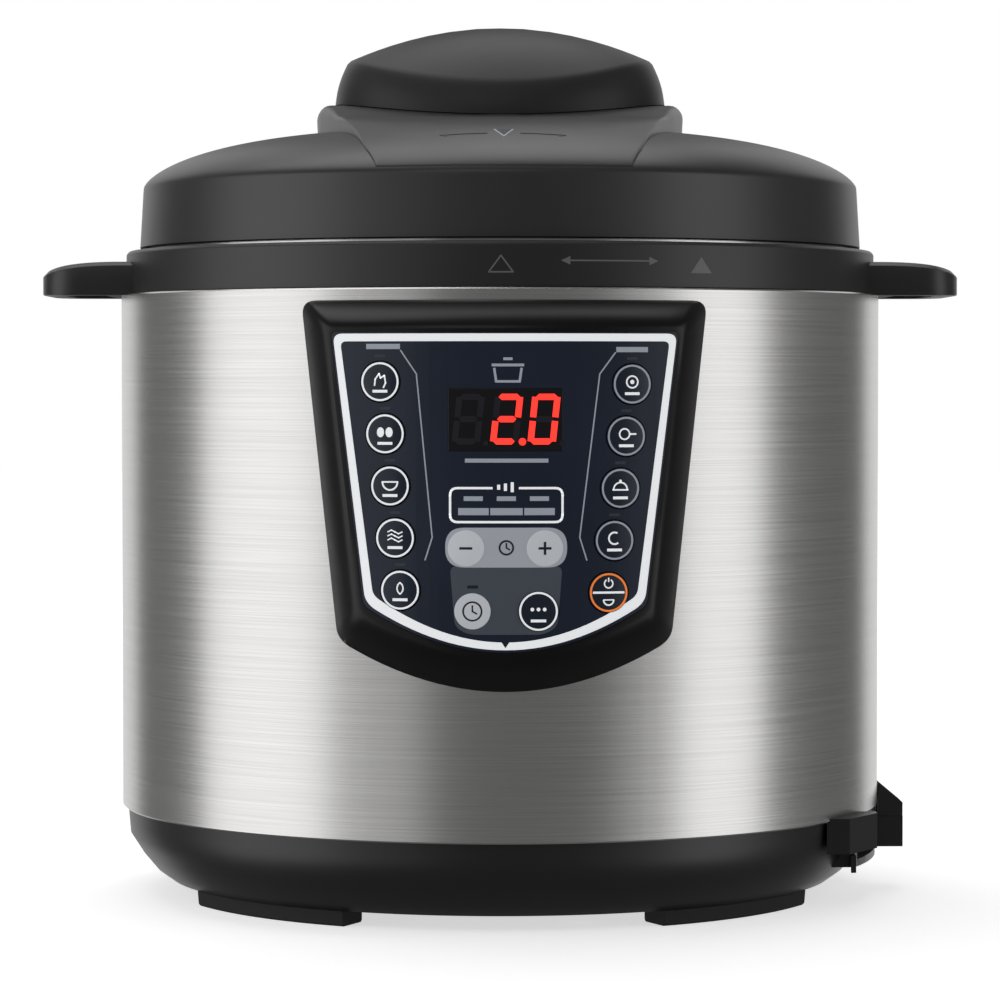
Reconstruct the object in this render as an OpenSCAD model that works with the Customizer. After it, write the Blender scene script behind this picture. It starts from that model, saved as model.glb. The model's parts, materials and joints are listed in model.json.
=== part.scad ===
// Electric pressure cooker: steel-clad body, twist-lock lid, lift-out pot and curved keypad.
// +Z is up, the control panel faces -Y, and the feet stand on z = 0 about the body's axis.

/* [Body] */
// Outer radius of the steel sleeve
body_r = 136; // [113:1:164]
// Height of the steel sleeve
sleeve_h = 182.3; // [150:0.1:220]
// Wall of the steel sleeve
sleeve_t = 0.8; // [0.5:0.1:1.5]
// Width of the sleeve's inward lips
sleeve_lip = 3; // [2.6:0.1:5]

/* [Base] */
// Height of the feet
foot_h = 5.4; // [3:0.1:12]
// Radial width of the feet
foot_w = 15; // [10:1:20]
// Arc that each foot covers, in degrees
foot_arc = 36; // [20:1:50]
// Height of the plastic base above the feet
base_h = 25.9; // [24:0.1:32]
// Wall of the plastic base
base_t = 2.5; // [2:0.1:3.5]
// Radius of the bottom plate
bottom_r = 102; // [80:1:104]
// Thickness of the bottom plate
bottom_t = 1.5; // [1:0.1:2]
// Space from the bottom plate to the outer pot
bay_h = 39.6; // [34:0.1:48]

/* [Collar and side handles] */
// How far the collar stands inside the sleeve's face
collar_inset = 1.8; // [0.5:0.1:3]
// Height of the collar
collar_h = 15.4; // [14:0.1:20]
// Radial width of the collar's wall
collar_w = 7.2; // [4:0.1:8]
// Thickness of the collar's floor
collar_floor_t = 2; // [1.5:0.1:3]
// How far a side handle reaches past the sleeve
handle_reach = 27; // [20:1:35]
// Width of a side handle
handle_w = 70; // [50:1:90]
// Thickness of a side handle at its root
handle_t = 12.4; // [9:0.1:15]

/* [Pots] */
// Wall of the inner pot
pot_t = 1.5; // [1:0.1:2.5]
// Wall of the outer pot
outer_pot_t = 1.5; // [1:0.1:2.5]
// Width of the outer pot's rim flange
rim_w = 6; // [4:0.1:8]
// Width of the outer pot's seat on the collar
seat_w = 4.5; // [3:0.1:6]
// Thickness of the rims and lugs
rim_t = 1.5; // [1.2:0.1:2]
// Height of the outer pot's rim above its seat
rim_rise = 6.4; // [6:0.1:7]
// Radius of the heating plate
plate_r = 88; // [70:1:92]
// Thickness of the heating plate
plate_t = 12; // [8:0.5:16]
// Radius of the temperature sensor's cap
sensor_r = 12.6; // [9:0.1:15]
// Travel of the temperature sensor
sensor_travel = 3; // [2:0.1:4]

/* [Lid] */
// Number of locking lugs
lug_n = 6; // [4:1:6]
// Arc that each lug covers, in degrees
lug_arc = 24; // [16:1:26]
// Radial length of a lug
lug_l = 3; // [2:0.1:3.2]
// Wall of the lid's cover
lid_t = 2; // [1.5:0.1:2.6]
// Height of the lid's upright wall
lid_wall_h = 21.6; // [18:0.1:28]
// Height of the lid's dome
dome_h = 20.5; // [16:0.1:28]
// Wall of the steel lid plate
lid_plate_t = 1.5; // [1:0.1:2]
// Gap from the pot's rim up to the lid plate
seal_space = 13; // [10:0.1:15]
// Half width of the lid's hub
hub_hw = 66; // [60:0.5:75]
// Half depth of the lid's hub behind its middle
hub_hd = 52; // [50:0.5:58]
// Half width of the hub's tongue at the lid's edge
tongue_hw = 43; // [36:0.5:50]
// Height of the hub above the dome
hub_h = 9.5; // [7:0.1:13]

/* [Handle cap] */
// Half width of the cap at its foot
cap_hw = 59.3; // [50:0.1:64]
// Half depth of the cap at its foot
cap_hd = 49; // [40:0.1:52]
// How much narrower the cap is at its crease
cap_draft = 4.7; // [2:0.1:8]
// Height of the cap's side wall at left and right
cap_wall_h = 15.4; // [10:0.1:20]
// Height of the cap's crown above its crease
crown_h = 12.6; // [8:0.1:18]
// How far the cap's foot dips at front and back
cap_dip = 6; // [3:0.1:8]
// Wall of the cap
cap_t = 2.5; // [1.8:0.1:3.5]

/* [Valves] */
// Radius of the vent pipe
vent_r = 3; // [2.5:0.1:4]
// Radius of the pressure valve's body
valve_r = 12; // [9:0.1:14]
// Height of the pressure valve's body
valve_h = 11; // [9:0.1:14]
// Distance of the pressure valve behind the lid's axis
valve_y = 92; // [88:1:96]
// Radius of the float valve's pin
float_r = 2.9; // [2:0.1:4]
// Travel of the float valve
float_travel = 4.4; // [3:0.1:4.4]
// Distance of the float valve to the left of the lid's axis
float_x = 30; // [26:1:36]

/* [Control panel] */
// How far the panel stands out of the sleeve
panel_proud = 12; // [10:0.1:16]
// Height of the panel's bezel in the middle
bezel_h = 128; // [120:0.5:150]
// Half width of the bezel at its top
bezel_top_hw = 67; // [62:0.5:75]
// Half width of the bezel at its lower corners
bezel_low_hw = 55; // [51:0.5:60]
// Rise of the bezel's lower corners above its middle
bezel_sweep = 16.5; // [12:0.5:20]
// Gap from the bezel to the top of the sleeve
bezel_gap = 4.1; // [2:0.1:10]
// Width of the bezel's sloping face at its top
slope_top = 10.6; // [8:0.1:14]
// Width of the bezel's sloping face at its sides
slope_side = 9; // [6:0.1:11]
// Width of the bezel's sloping face at its bottom
slope_low = 13.5; // [10:0.1:16]
// Thickness of the bezel's front wall
bezel_t = 3.2; // [2.5:0.1:4]
// Thickness of the printed overlay
overlay_t = 0.6; // [0.4:0.1:1]
// Half width of the display window
window_hw = 18.6; // [14:0.1:20]
// Height of the display window
window_h = 20.4; // [16:0.1:22]

/* [Buttons] */
// Radius of a button
button_r = 6.6; // [5:0.1:6.8]
// Radius of the minus, plus and timer buttons
small_button_r = 5.9; // [4.5:0.1:6.2]
// Travel of a button
button_travel = 0.6; // [0.3:0.1:1]
// Height of a button above the overlay
button_proud = 0.3; // [0.1:0.1:0.6]

/* [Power inlet] */
// Width of the inlet's recess
inlet_w = 44; // [36:1:46]
// Height of the inlet's recess
inlet_h = 12.8; // [11:0.1:13]
// Distance of the inlet's middle in front of the body's axis
inlet_y = 32; // [26:1:36]
// Radius of an inlet pin
inlet_pin_r = 2; // [1.5:0.1:2.5]

/* [Condensate cup] */
// Width of the cup
cup_w = 56; // [40:1:70]
// Depth of the cup
cup_d = 14.8; // [10:0.1:24]
// Height of the cup
cup_h = 45; // [30:1:60]
// Wall of the cup
cup_t = 1.5; // [1.2:0.1:2]

/* [Clearances] */
// Gap round a button in its hole
button_gap = 0.3; // [0.2:0.05:0.5]
// Gap between parts that lift out and what they stand on
seat_gap = 0.3; // [0.2:0.05:0.6]
// Gap between the two pots
pot_gap = 2; // [1:0.1:4]
// Gap between the lid's skirt and the collar
skirt_gap = 1; // [0.6:0.1:1.5]
// Gap round the locking lugs
lug_gap = 0.6; // [0.4:0.05:0.8]
// Gap between the collar and the lid's cover
lid_gap = 0.9; // [0.4:0.1:2]
// Running clearance on a pin
run_gap = 0.05; // [0.02:0.01:0.1]
// Gap round the condensate cup's runners
slide_gap = 0.4; // [0.3:0.05:0.8]

/* [Hidden] */
$fn = 96;
tiny = 0.01;

// Heights, from the feet up
sleeve_z0 = foot_h + base_h;
sleeve_z1 = sleeve_z0 + sleeve_h;
bottom_z1 = foot_h + bottom_t;
outer_pot_z0 = bottom_z1 + bay_h;
plate_z0 = outer_pot_z0 + outer_pot_t;
plate_z1 = plate_z0 + plate_t;
pot_z0 = plate_z1 + seat_gap;
seat_z = sleeve_z1 + collar_floor_t;
collar_z1 = sleeve_z1 + collar_h;
pot_lug_z0 = seat_z + rim_t + rim_rise;
pot_lug_z1 = pot_lug_z0 + rim_t;
pot_rim_z0 = pot_lug_z1 + 0.5;
pot_rim_z1 = pot_rim_z0 + rim_t;
lid_lug_z1 = pot_lug_z0 - 0.5;
lid_lug_z0 = lid_lug_z1 - 2;
lid_plate_z0 = pot_rim_z1 + seal_space;
lid_plate_z1 = lid_plate_z0 + lid_plate_t;
lid_z0 = collar_z1 + lid_gap;
shoulder_z = lid_z0 + lid_wall_h;
hub_z = shoulder_z + dome_h + hub_h;
cap_z0 = hub_z + 0.5;
crease_z = cap_z0 + cap_wall_h;
crown_z = crease_z + crown_h;

// Radii, from the sleeve inwards
sleeve_in = body_r - sleeve_t;
collar_r = body_r - collar_inset;
collar_in = collar_r - collar_w;
skirt_r = collar_in - skirt_gap;
skirt_in = skirt_r - 1.2;
pot_lug_r = skirt_in - lug_gap;
flange_r = pot_lug_r - lug_l - 0.2;
outer_pot_r = flange_r - rim_w;
outer_pot_in = outer_pot_r - outer_pot_t;
pot_r = outer_pot_in - pot_gap;
pot_in = pot_r - pot_t;
lid_r0 = collar_in + 2.3;
lid_r1 = lid_r0 - 1.3;
base_r = collar_r - 0.1;
feet_r = base_r - 14;

// The posts and screws under the pots
post_angles = [90, 210, 330];
base_screw_angles = [15, 105, 195, 285];
pot_hole_r = 60;
post_r = bottom_r - 8.8;
bracket_r = 20;
bracket_h = 17;
spring_wire_r = 0.7;
terminal_y = 42;

// The hub's bosses, which carry the handle cap
boss_x = 25;
boss_r = 6;
screw_r = 2;
float_y = valve_y - 7;

// The panel's outlines, as [top half width, low half width, top z, corner z, middle z]
panel_r = body_r + panel_proud;
bezel_z1 = sleeve_z1 - bezel_gap;
bezel_z0 = bezel_z1 - bezel_h;
foot_line = [bezel_top_hw, bezel_low_hw, bezel_z1, bezel_z0 + bezel_sweep, bezel_z0];
film_line = inset_line(foot_line, slope_top, slope_side + 1.2, slope_low);
crest_line = inset_line(film_line, -1, -1.2, -1);
cavity_line = inset_line(film_line, 1.5, 1.5, 2.5);
film_r0 = panel_r - overlay_t - 0.2;
film_r1 = panel_r - 0.2;
bezel_in = film_r0 - bezel_t;
film_top = film_line[2];
window_z1 = film_top - 18.2;
window_z0 = window_z1 - window_h;

// The board behind the panel
board_y = body_r - 8.4;
board_t = 1.6;
board_hw = 40;
board_z0 = bezel_z0 + 23;
board_z1 = film_top - 3;
switch_h = 3;
switch_w = 6;

// Keypad: column positions from the panel's middle, and heights below the overlay's top edge
row_pitch = 16.9;
row_top = 16.1;
left_x = 40.6;
left_step = 1.62;
right_x = 41.2;
right_step = 1.92;
adjust_x = 12.8;
adjust_drop = 70;
timer_drop = 90.4;
timer_x = 10.7;

// The inlet and the cup
inlet_z0 = foot_h + 10.6;
inlet_z1 = inlet_z0 + inlet_h;
inlet_x0 = base_r - 21;
inlet_t = 2.5;
cup_y0 = body_r + 1.2;
cup_z1 = sleeve_z1 - 10.6;
cup_z0 = cup_z1 - cup_h;
runner_w = 4;
runner_t = 2;
runner_z = cup_z1 - 4;
drain_r = 3.5;
drain_bore_r = 2.2;
drain_z = sleeve_z1 - 4.4;
drain_y = collar_in - 5;
bracket_t = drain_z - drain_r - cup_z1 - 1.2;

// An outline with its top, sides and bottom moved inwards
function inset_line(l, top, side, low) = [l[0] - side, l[1] - side + 1.4, l[2] - top, l[3] + low - 1.5, l[4] + low];

// The points of a panel outline: straight top and sides, and a bottom that sweeps down in the middle
function panel_points(l, n = 16) = concat([[l[0], l[2]], [-l[0], l[2]]],
    [for (i = [0 : n]) let (x = l[1] * (2 * i / n - 1)) [x, l[4] + (l[3] - l[4]) * pow(x / l[1], 2)]]);

// Height of the dome's surface above the shoulder, at radius r of a dome that is R wide
function dome_rise(r, R, h) = h * pow(max(0, 1 - pow(r / R, 3.3)), 0.645);
function dome_points(R, h, z, n = 24) = [for (i = [0 : n]) let (r = R * sin(90 * i / n)) [r, z + dome_rise(r, R, h)]];

// A ring of the handle cap: half width, half depth, height at the sides and at front and back
function cap_ring(a, b, side_z, front_z, n = 48) = [for (i = [0 : n - 1]) let (t = 360 * i / n)
    [a * cos(t), b * sin(t), side_z + (front_z - side_z) * pow(sin(t), 2)]];

// A rectangle with round corners, as points
function round_rect(w, d, r, n = 6) = [for (q = [0 : 3], i = [0 : n]) let (t = 90 * q + 90 * i / n)
    [(w / 2 - r) * (q == 0 || q == 3 ? 1 : -1) + r * cos(t), (d / 2 - r) * (q < 2 ? 1 : -1) + r * sin(t)]];

// A solid between rings of points, closed by a fan at each end
module loft(rings) {
    n = len(rings[0]);
    m = len(rings);
    points = [for (ring = rings) each ring];
    sides = [for (j = [0 : m - 2], i = [0 : n - 1]) let (a = j * n + i, b = j * n + (i + 1) % n)
        each [[a, b, b + n], [a, b + n, a + n]]];
    low = [[for (i = [n - 1 : -1 : 0]) i]];
    high = [[for (i = [0 : n - 1]) (m - 1) * n + i]];
    polyhedron(points, [for (f = concat(low, sides, high)) [for (i = [len(f) - 1 : -1 : 0]) f[i]]], 10);
}

// A ring of rectangular section
module tube(r0, r1, z0, z1) {
    translate([0, 0, z0]) difference() {
        cylinder(r = r1, h = z1 - z0);
        translate([0, 0, -1]) cylinder(r = r0, h = z1 - z0 + 2);
    }
}

// Part of a ring, centred on angle a
module arc_tube(r0, r1, z0, z1, a, arc) {
    rotate([0, 0, a - arc / 2]) rotate_extrude(angle = arc) translate([r0, z0]) square([r1 - r0, z1 - z0]);
}

// A panel outline cut out of the ring between two radii
module panel_slab(line, r0, r1) {
    intersection() {
        rotate([90, 0, 0]) linear_extrude(r1 + 20) polygon(panel_points(line));
        if (r0 > 0) tube(r0, r1, line[4] - 1, line[2] + 1);
        else translate([0, 0, line[4] - 1]) cylinder(r = r1, h = line[2] - line[4] + 2);
    }
}

// Places its children at x across the panel, at a drop below the overlay's top, facing out along +X
module at_key(x, drop) {
    translate([0, 0, film_top - drop]) rotate([0, 0, -90 + asin(x / panel_r)]) children();
}

// A hole for a key through the bezel and the overlay
module key_hole(x, drop, r) {
    at_key(x, drop) translate([bezel_in - 8, 0, 0]) rotate([0, 90, 0]) cylinder(r = r + button_gap, h = 30);
}

module key_holes() {
    for (i = [0 : 4]) {
        key_hole(-left_x + left_step * i, row_top + row_pitch * i, button_r);
        key_hole(right_x - right_step * i, row_top + row_pitch * i + 0.8, button_r);
    }
    for (s = [-1, 1]) key_hole(s * adjust_x, adjust_drop, small_button_r);
    key_hole(-timer_x, timer_drop, small_button_r);
    key_hole(timer_x, timer_drop, button_r);
}

// A key: a cap with a rounded edge, a flange behind the bezel and a plunger towards its switch
module key(x, drop, r, c) {
    a = asin(x / panel_r);
    flange_x = bezel_in - 0.6;
    plunger_x = (board_y + switch_h + 1.2) / cos(a);
    color(c) at_key(x, drop) rotate([0, 90, 0]) rotate_extrude() polygon([[0, plunger_x], [2, plunger_x],
        [2, flange_x - 1], [r + 1.2, flange_x - 1], [r + 1.2, flange_x], [r, flange_x],
        [r, film_r1 + button_proud - 0.4], [r - 0.4, film_r1 + button_proud], [0, film_r1 + button_proud]]);
}

module steel_sleeve() {
    color("silver") difference() {
        rotate_extrude() polygon([[body_r - sleeve_lip, sleeve_z0], [body_r, sleeve_z0], [body_r, sleeve_z1],
            [body_r - sleeve_lip, sleeve_z1], [body_r - sleeve_lip, sleeve_z1 - sleeve_t],
            [sleeve_in, sleeve_z1 - sleeve_t], [sleeve_in, sleeve_z0 + sleeve_t],
            [body_r - sleeve_lip, sleeve_z0 + sleeve_t]]);
        panel_slab(cavity_line, 0, body_r + 1);
        translate([0, body_r - 10, drain_z]) rotate([-90, 0, 0]) cylinder(r = drain_r, h = 20);
    }
}

module collar() {
    color([0.09, 0.09, 0.1]) difference() {
        rotate_extrude() polygon([[outer_pot_r + 0.2, sleeve_z1], [collar_r, sleeve_z1],
            [collar_r, collar_z1 - 1.2], [collar_r - 1.2, collar_z1], [collar_in, collar_z1], [collar_in, seat_z],
            [outer_pot_r + 0.2, seat_z]]);
        translate([0, drain_y, sleeve_z1 - 1]) cylinder(r = drain_bore_r, h = collar_floor_t + 2);
    }
}

// A grip on the collar's right side, hollow underneath
module side_handle() {
    x1 = body_r + handle_reach;
    hw = handle_w / 2;
    top = sleeve_z1 + handle_t;
    pocket_w = handle_w - 16;
    difference() {
        intersection() {
            linear_extrude(top + 1) polygon([[collar_r - 30, -hw], [x1 - 13, -hw + 2], [x1 - 6, -hw + 5.5],
                [x1 - 1.6, -hw + 12], [x1, -hw + 21], [x1, hw - 21], [x1 - 1.6, hw - 12], [x1 - 6, hw - 5.5],
                [x1 - 13, hw - 2], [collar_r - 30, hw]]);
            translate([0, hw + 1, 0]) rotate([90, 0, 0]) linear_extrude(handle_w + 2) polygon([
                [collar_r - 30, sleeve_z1], [body_r + 1, sleeve_z1], [body_r + 2.5, sleeve_z1 - 0.6],
                [x1 - 2.5, sleeve_z1 - 0.6], [x1, sleeve_z1 + 1.2], [x1, top - 4.6], [x1 - 3, top - 3],
                [body_r + 4, top - 0.8], [collar_r - 30, top]]);
        }
        translate([0, 0, sleeve_z1 - 5]) cylinder(r = collar_r, h = handle_t + 10);
        translate([body_r + 4, -pocket_w / 2, sleeve_z1 - 5]) cube([handle_reach - 8, pocket_w, 9.5]);
    }
}

module handle_right() {
    color([0.09, 0.09, 0.1]) side_handle();
}

module handle_left() {
    color([0.09, 0.09, 0.1]) mirror([1, 0, 0]) side_handle();
}

module base_shell() {
    screw_x = bottom_r - 2;
    color([0.08, 0.08, 0.09]) difference() {
        union() {
            rotate_extrude() polygon([[base_r, sleeve_z0], [base_r - 0.8, foot_h + 16.1], [base_r - 5.4, foot_h + 9],
                [base_r - 10, foot_h + 3.6], [base_r - 15, foot_h], [bottom_r, foot_h], [bottom_r, bottom_z1],
                [bottom_r - 4, bottom_z1], [bottom_r - 4, bottom_z1 + 1], [base_r - 15.8, bottom_z1 + 1],
                [base_r - 11.8, foot_h + 5.6], [base_r - 7.6, foot_h + 10.4], [base_r - 3.3, foot_h + 17],
                [base_r - base_t, sleeve_z0]]);
            for (a = base_screw_angles) rotate([0, 0, a]) translate([screw_x, 0, bottom_z1]) cylinder(r = 4, h = 7);
        }
        for (a = base_screw_angles) rotate([0, 0, a]) translate([screw_x, 0, foot_h]) cylinder(r = 1.5, h = 7);
        inlet_box();
    }
}

module feet() {
    color([0.06, 0.06, 0.07]) for (a = [45 : 90 : 315])
        rotate([0, 0, a - foot_arc / 2]) rotate_extrude(angle = foot_arc) polygon([[feet_r - foot_w, 0.8],
            [feet_r - foot_w + 0.8, 0], [feet_r - 2.2, 0], [feet_r - 1.4, 0.8], [feet_r - 1, foot_h],
            [feet_r - foot_w, foot_h]]);
}

module bottom_plate() {
    color("dimgray") difference() {
        translate([0, 0, foot_h]) cylinder(r = bottom_r, h = bottom_t);
        for (a = base_screw_angles) rotate([0, 0, a]) translate([bottom_r - 2, 0, 0]) cylinder(r = 1.5, h = 20);
        for (a = post_angles) rotate([0, 0, a]) translate([post_r, 0, 0]) cylinder(r = 1.5, h = 20);
        for (i = [-3 : 3]) translate([i * 14 + 20, 0, 0]) linear_extrude(20) polygon(round_rect(5, 60, 2.5));
    }
}

// One screw from below, with its head under the bottom plate
module base_screw() {
    translate([0, 0, foot_h - 1.8]) cylinder(r = 3.2, h = 1.8);
    translate([0, 0, foot_h]) cylinder(r = 1.5, h = 7);
}

module base_screws() {
    color("gray") {
        for (a = base_screw_angles) rotate([0, 0, a]) translate([bottom_r - 2, 0, 0]) base_screw();
        for (a = post_angles) rotate([0, 0, a]) translate([post_r, 0, 0]) base_screw();
    }
}

module support_posts() {
    color("lightgray") for (a = post_angles) rotate([0, 0, a]) translate([post_r, 0, 0]) difference() {
        translate([0, 0, bottom_z1]) cylinder(r = 4.5, h = bay_h);
        translate([0, 0, bottom_z1 - 1]) cylinder(r = 1.5, h = 9);
    }
}

// The fixed pressure vessel: a floor ring, a wall, a seat on the collar and a lugged rim
module outer_pot() {
    color([0.72, 0.73, 0.75]) {
        rotate_extrude() polygon([[pot_hole_r, outer_pot_z0], [outer_pot_r, outer_pot_z0], [outer_pot_r, seat_z],
            [outer_pot_r + seat_w, seat_z], [outer_pot_r + seat_w, seat_z + rim_t], [outer_pot_r, seat_z + rim_t],
            [outer_pot_r, pot_lug_z0], [flange_r, pot_lug_z0], [flange_r, pot_lug_z1], [outer_pot_in, pot_lug_z1],
            [outer_pot_in, plate_z0], [pot_hole_r, plate_z0]]);
        for (i = [0 : lug_n - 1])
            arc_tube(flange_r - 1, pot_lug_r, pot_lug_z0, pot_lug_z1, -90 + 360 / lug_n * i, lug_arc);
    }
}

module heating_plate() {
    color([0.66, 0.67, 0.69]) difference() {
        rotate_extrude() polygon([[sensor_r + 0.5, plate_z0], [plate_r, plate_z0], [plate_r, plate_z1 - 2],
            [plate_r - 2, plate_z1], [sensor_r + 0.5, plate_z1]]);
        for (a = [30 : 60 : 330])
            rotate([0, 0, a]) translate([plate_r * 0.75, 0, plate_z0 - 1]) cylinder(r = 4, h = 5);
    }
}

module element_terminals() {
    color("ivory") for (s = [-1, 1]) translate([0, s * terminal_y, 0]) {
        translate([0, 0, plate_z0 - 10]) cylinder(r = 4.5, h = 10);
        translate([-3.2, -0.4, plate_z0 - 18]) cube([6.4, 0.8, 8]);
    }
}

// A cup under the heating plate that guides the sensor and seats its spring
module sensor_bracket() {
    color("silver") rotate_extrude() polygon([[5.5, plate_z0 - bracket_h], [15, plate_z0 - bracket_h],
        [15, plate_z0 - 1.2], [bracket_r, plate_z0 - 1.2], [bracket_r, plate_z0], [13.8, plate_z0],
        [13.8, plate_z0 - bracket_h + 1.2], [5.5, plate_z0 - bracket_h + 1.2]]);
}

// A coil spring: rings of points along a helix
module sensor_spring() {
    z0 = plate_z0 - bracket_h + 1.2 + spring_wire_r;
    z1 = plate_z1 - 8 - seat_gap - spring_wire_r;
    turns = 5;
    steps = turns * 20;
    color("gainsboro") loft([for (i = [0 : steps]) let (t = 360 * turns * i / steps)
        [for (k = [0 : 7]) let (w = 45 * k, r = 8 + spring_wire_r * cos(w))
            [r * cos(t), r * sin(t), z0 + (z1 - z0) * i / steps + spring_wire_r * sin(w)]]]);
}

module sensor_cap() {
    color("lightsteelblue") rotate_extrude() polygon([[0, plate_z0 - bracket_h - 4], [5, plate_z0 - bracket_h - 4],
        [5, plate_z1 - 8], [sensor_r, plate_z1 - 8], [sensor_r, plate_z1 - 1], [sensor_r - 1, plate_z1],
        [0, plate_z1]]);
}

module thermal_fuse() {
    color("white") translate([30, 30, 0]) {
        translate([-8, -3, plate_z0 - 1]) cube([16, 6, 1]);
        translate([-6, 0, plate_z0 - 3.4]) rotate([0, 90, 0]) cylinder(r = 2.5, h = 12);
    }
}

module pressure_switch() {
    color("saddlebrown") rotate([0, 0, 200]) translate([70, 0, 0]) {
        translate([-6, -9, outer_pot_z0 - 14]) cube([12, 18, 12]);
        translate([-8, -5, outer_pot_z0 - 2]) cube([16, 10, 2]);
    }
}

// A board on four stand-offs with its relay, transformer and capacitor
module power_board() {
    board_z = bottom_z1 + 5;
    color("darkgreen") translate([-82, -40, 0]) {
        translate([0, 0, board_z]) cube([56, 80, 1.6]);
        for (x = [4, 52], y = [4, 76]) translate([x, y, bottom_z1]) cylinder(r = 2.5, h = 5);
        translate([8, 10, board_z + 1.6]) cube([20, 16, 14]);
        translate([8, 40, board_z + 1.6]) cube([26, 22, 20]);
        translate([44, 24, board_z + 1.6]) cylinder(r = 6, h = 18);
    }
}

// A curved shell that slopes from the sleeve up to the overlay's edge
module panel_bezel() {
    color([0.07, 0.07, 0.08]) difference() {
        union() {
            difference() {
                hull() {
                    panel_slab(foot_line, body_r - 0.1, body_r + 0.1, $fn = 180);
                    panel_slab(crest_line, panel_r - 0.2, panel_r, $fn = 180);
                }
                translate([0, 0, bezel_z0 - 20]) cylinder(r = body_r, h = bezel_h + 40);
                panel_slab(cavity_line, 0, bezel_in);
                panel_slab(film_line, film_r0, panel_r + 5);
            }
            for (x = [-20, 20]) board_post(x, board_z1 - 4);
            for (x = [-23.5, 23.5]) board_post(x, board_z0 + 4);
        }
        key_holes();
        translate([-window_hw + 1.2, -panel_r - 1, window_z0 + 1.2])
            cube([2 * window_hw - 2.4, 30, window_h - 2.4]);
    }
}

// A stand-off from the bezel's front wall back to the board
module board_post(x, z) {
    front = sqrt(pow(bezel_in + 1, 2) - x * x);
    translate([x, -board_y, z]) rotate([90, 0, 0]) cylinder(r = 2.5, h = front - board_y);
}

module panel_overlay() {
    color([0.05, 0.08, 0.16]) difference() {
        panel_slab(film_line, film_r0, film_r1);
        key_holes();
        translate([-window_hw, -panel_r - 1, window_z0]) cube([2 * window_hw, 30, window_h]);
    }
}

module display_window() {
    color([0.1, 0.02, 0.02]) intersection() {
        tube(film_r0, film_r1, window_z0, window_z1);
        translate([-window_hw, -panel_r - 1, window_z0]) cube([2 * window_hw, 30, window_h]);
    }
}

module display_module() {
    color("black") translate([-window_hw + 2, -board_y - 10, window_z0 + 2])
        cube([2 * window_hw - 4, 10, window_h - 4]);
}

module control_board() {
    color("darkgreen") translate([-board_hw, -board_y, board_z0]) cube([2 * board_hw, board_t, board_z1 - board_z0]);
}

// A switch behind the key at x
module key_switch(x, drop) {
    a = asin(x / panel_r);
    translate([board_y * tan(a) - switch_w / 2, -board_y - switch_h, film_top - drop - switch_w / 2])
        cube([switch_w, switch_h, switch_w]);
}

module key_switches() {
    color("dimgray") {
        for (i = [0 : 4]) {
            key_switch(-left_x + left_step * i, row_top + row_pitch * i);
            key_switch(right_x - right_step * i, row_top + row_pitch * i + 0.8);
        }
        for (s = [-1, 1]) {
            key_switch(s * adjust_x, adjust_drop);
            key_switch(s * timer_x, timer_drop);
        }
    }
}

// The space of the inlet's box
module inlet_box() {
    translate([inlet_x0, -inlet_y - inlet_w / 2 - inlet_t, inlet_z0 - inlet_t])
        cube([60, inlet_w + 2 * inlet_t, inlet_h + 2 * inlet_t]);
}

// A recess between two cheeks; the rear cheek has a hood with gussets
module inlet_housing() {
    front = -inlet_y - inlet_w / 2;
    rear = -inlet_y + inlet_w / 2;
    box_r = base_r + 1.2;
    low_z = inlet_z0 - inlet_t;
    high_z = inlet_z1 + inlet_t;
    color([0.05, 0.05, 0.06]) {
        difference() {
            intersection() {
                inlet_box();
                translate([0, 0, low_z]) cylinder(r = box_r, h = high_z - low_z);
            }
            translate([inlet_x0 + inlet_t, front, inlet_z0]) cube([60, inlet_w, inlet_h]);
            for (i = [-1 : 1]) inlet_pin(i);
        }
        difference() {
            union() {
                translate([0, 0, inlet_z0 + 4.6]) linear_extrude(12.2) polygon([[base_r - 32, front - 23],
                    [base_r - 15, front - 23], [base_r - 3.6, front - 5], [base_r - 3.6, front], [base_r - 32, front]]);
                translate([0, 0, low_z - 1.5]) linear_extrude(6) polygon([[base_r - 32, front - 6],
                    [base_r - 11, front - 6], [base_r - 11, front], [base_r - 32, front]]);
                translate([base_r - 20, rear, low_z + 1.6]) cube([31, inlet_t + 15, 10.9]);
                for (y = [rear, rear + 7, rear + 14])
                    translate([0, y + 3, 0]) rotate([90, 0, 0]) linear_extrude(2.4) polygon([
                        [base_r - 20, low_z + 12.4], [base_r + 11, low_z + 12.4], [base_r + 11, low_z + 17.5],
                        [base_r + 2.6, low_z + 24.5], [base_r + 2.1, low_z + 24.5], [base_r + 2.1, low_z + 13]]);
            }
            translate([0, 0, -1]) cylinder(r = base_r + 1.2, h = sleeve_z0 + 1);
            translate([0, 0, sleeve_z0 - tiny]) cylinder(r = body_r + 0.1, h = 40);
            translate([inlet_x0 + inlet_t, front, inlet_z0]) cube([60, inlet_w, inlet_h]);
        }
    }
}

// One of three pins that point out of the inlet
module inlet_pin(i) {
    translate([inlet_x0 - 6, -inlet_y + i * 12, inlet_z0 + 2.5 + inlet_pin_r])
        rotate([0, 90, 0]) cylinder(r = inlet_pin_r, h = 27);
}

module inlet_pins() {
    color("goldenrod") for (i = [-1 : 1]) inlet_pin(i);
}

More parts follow.
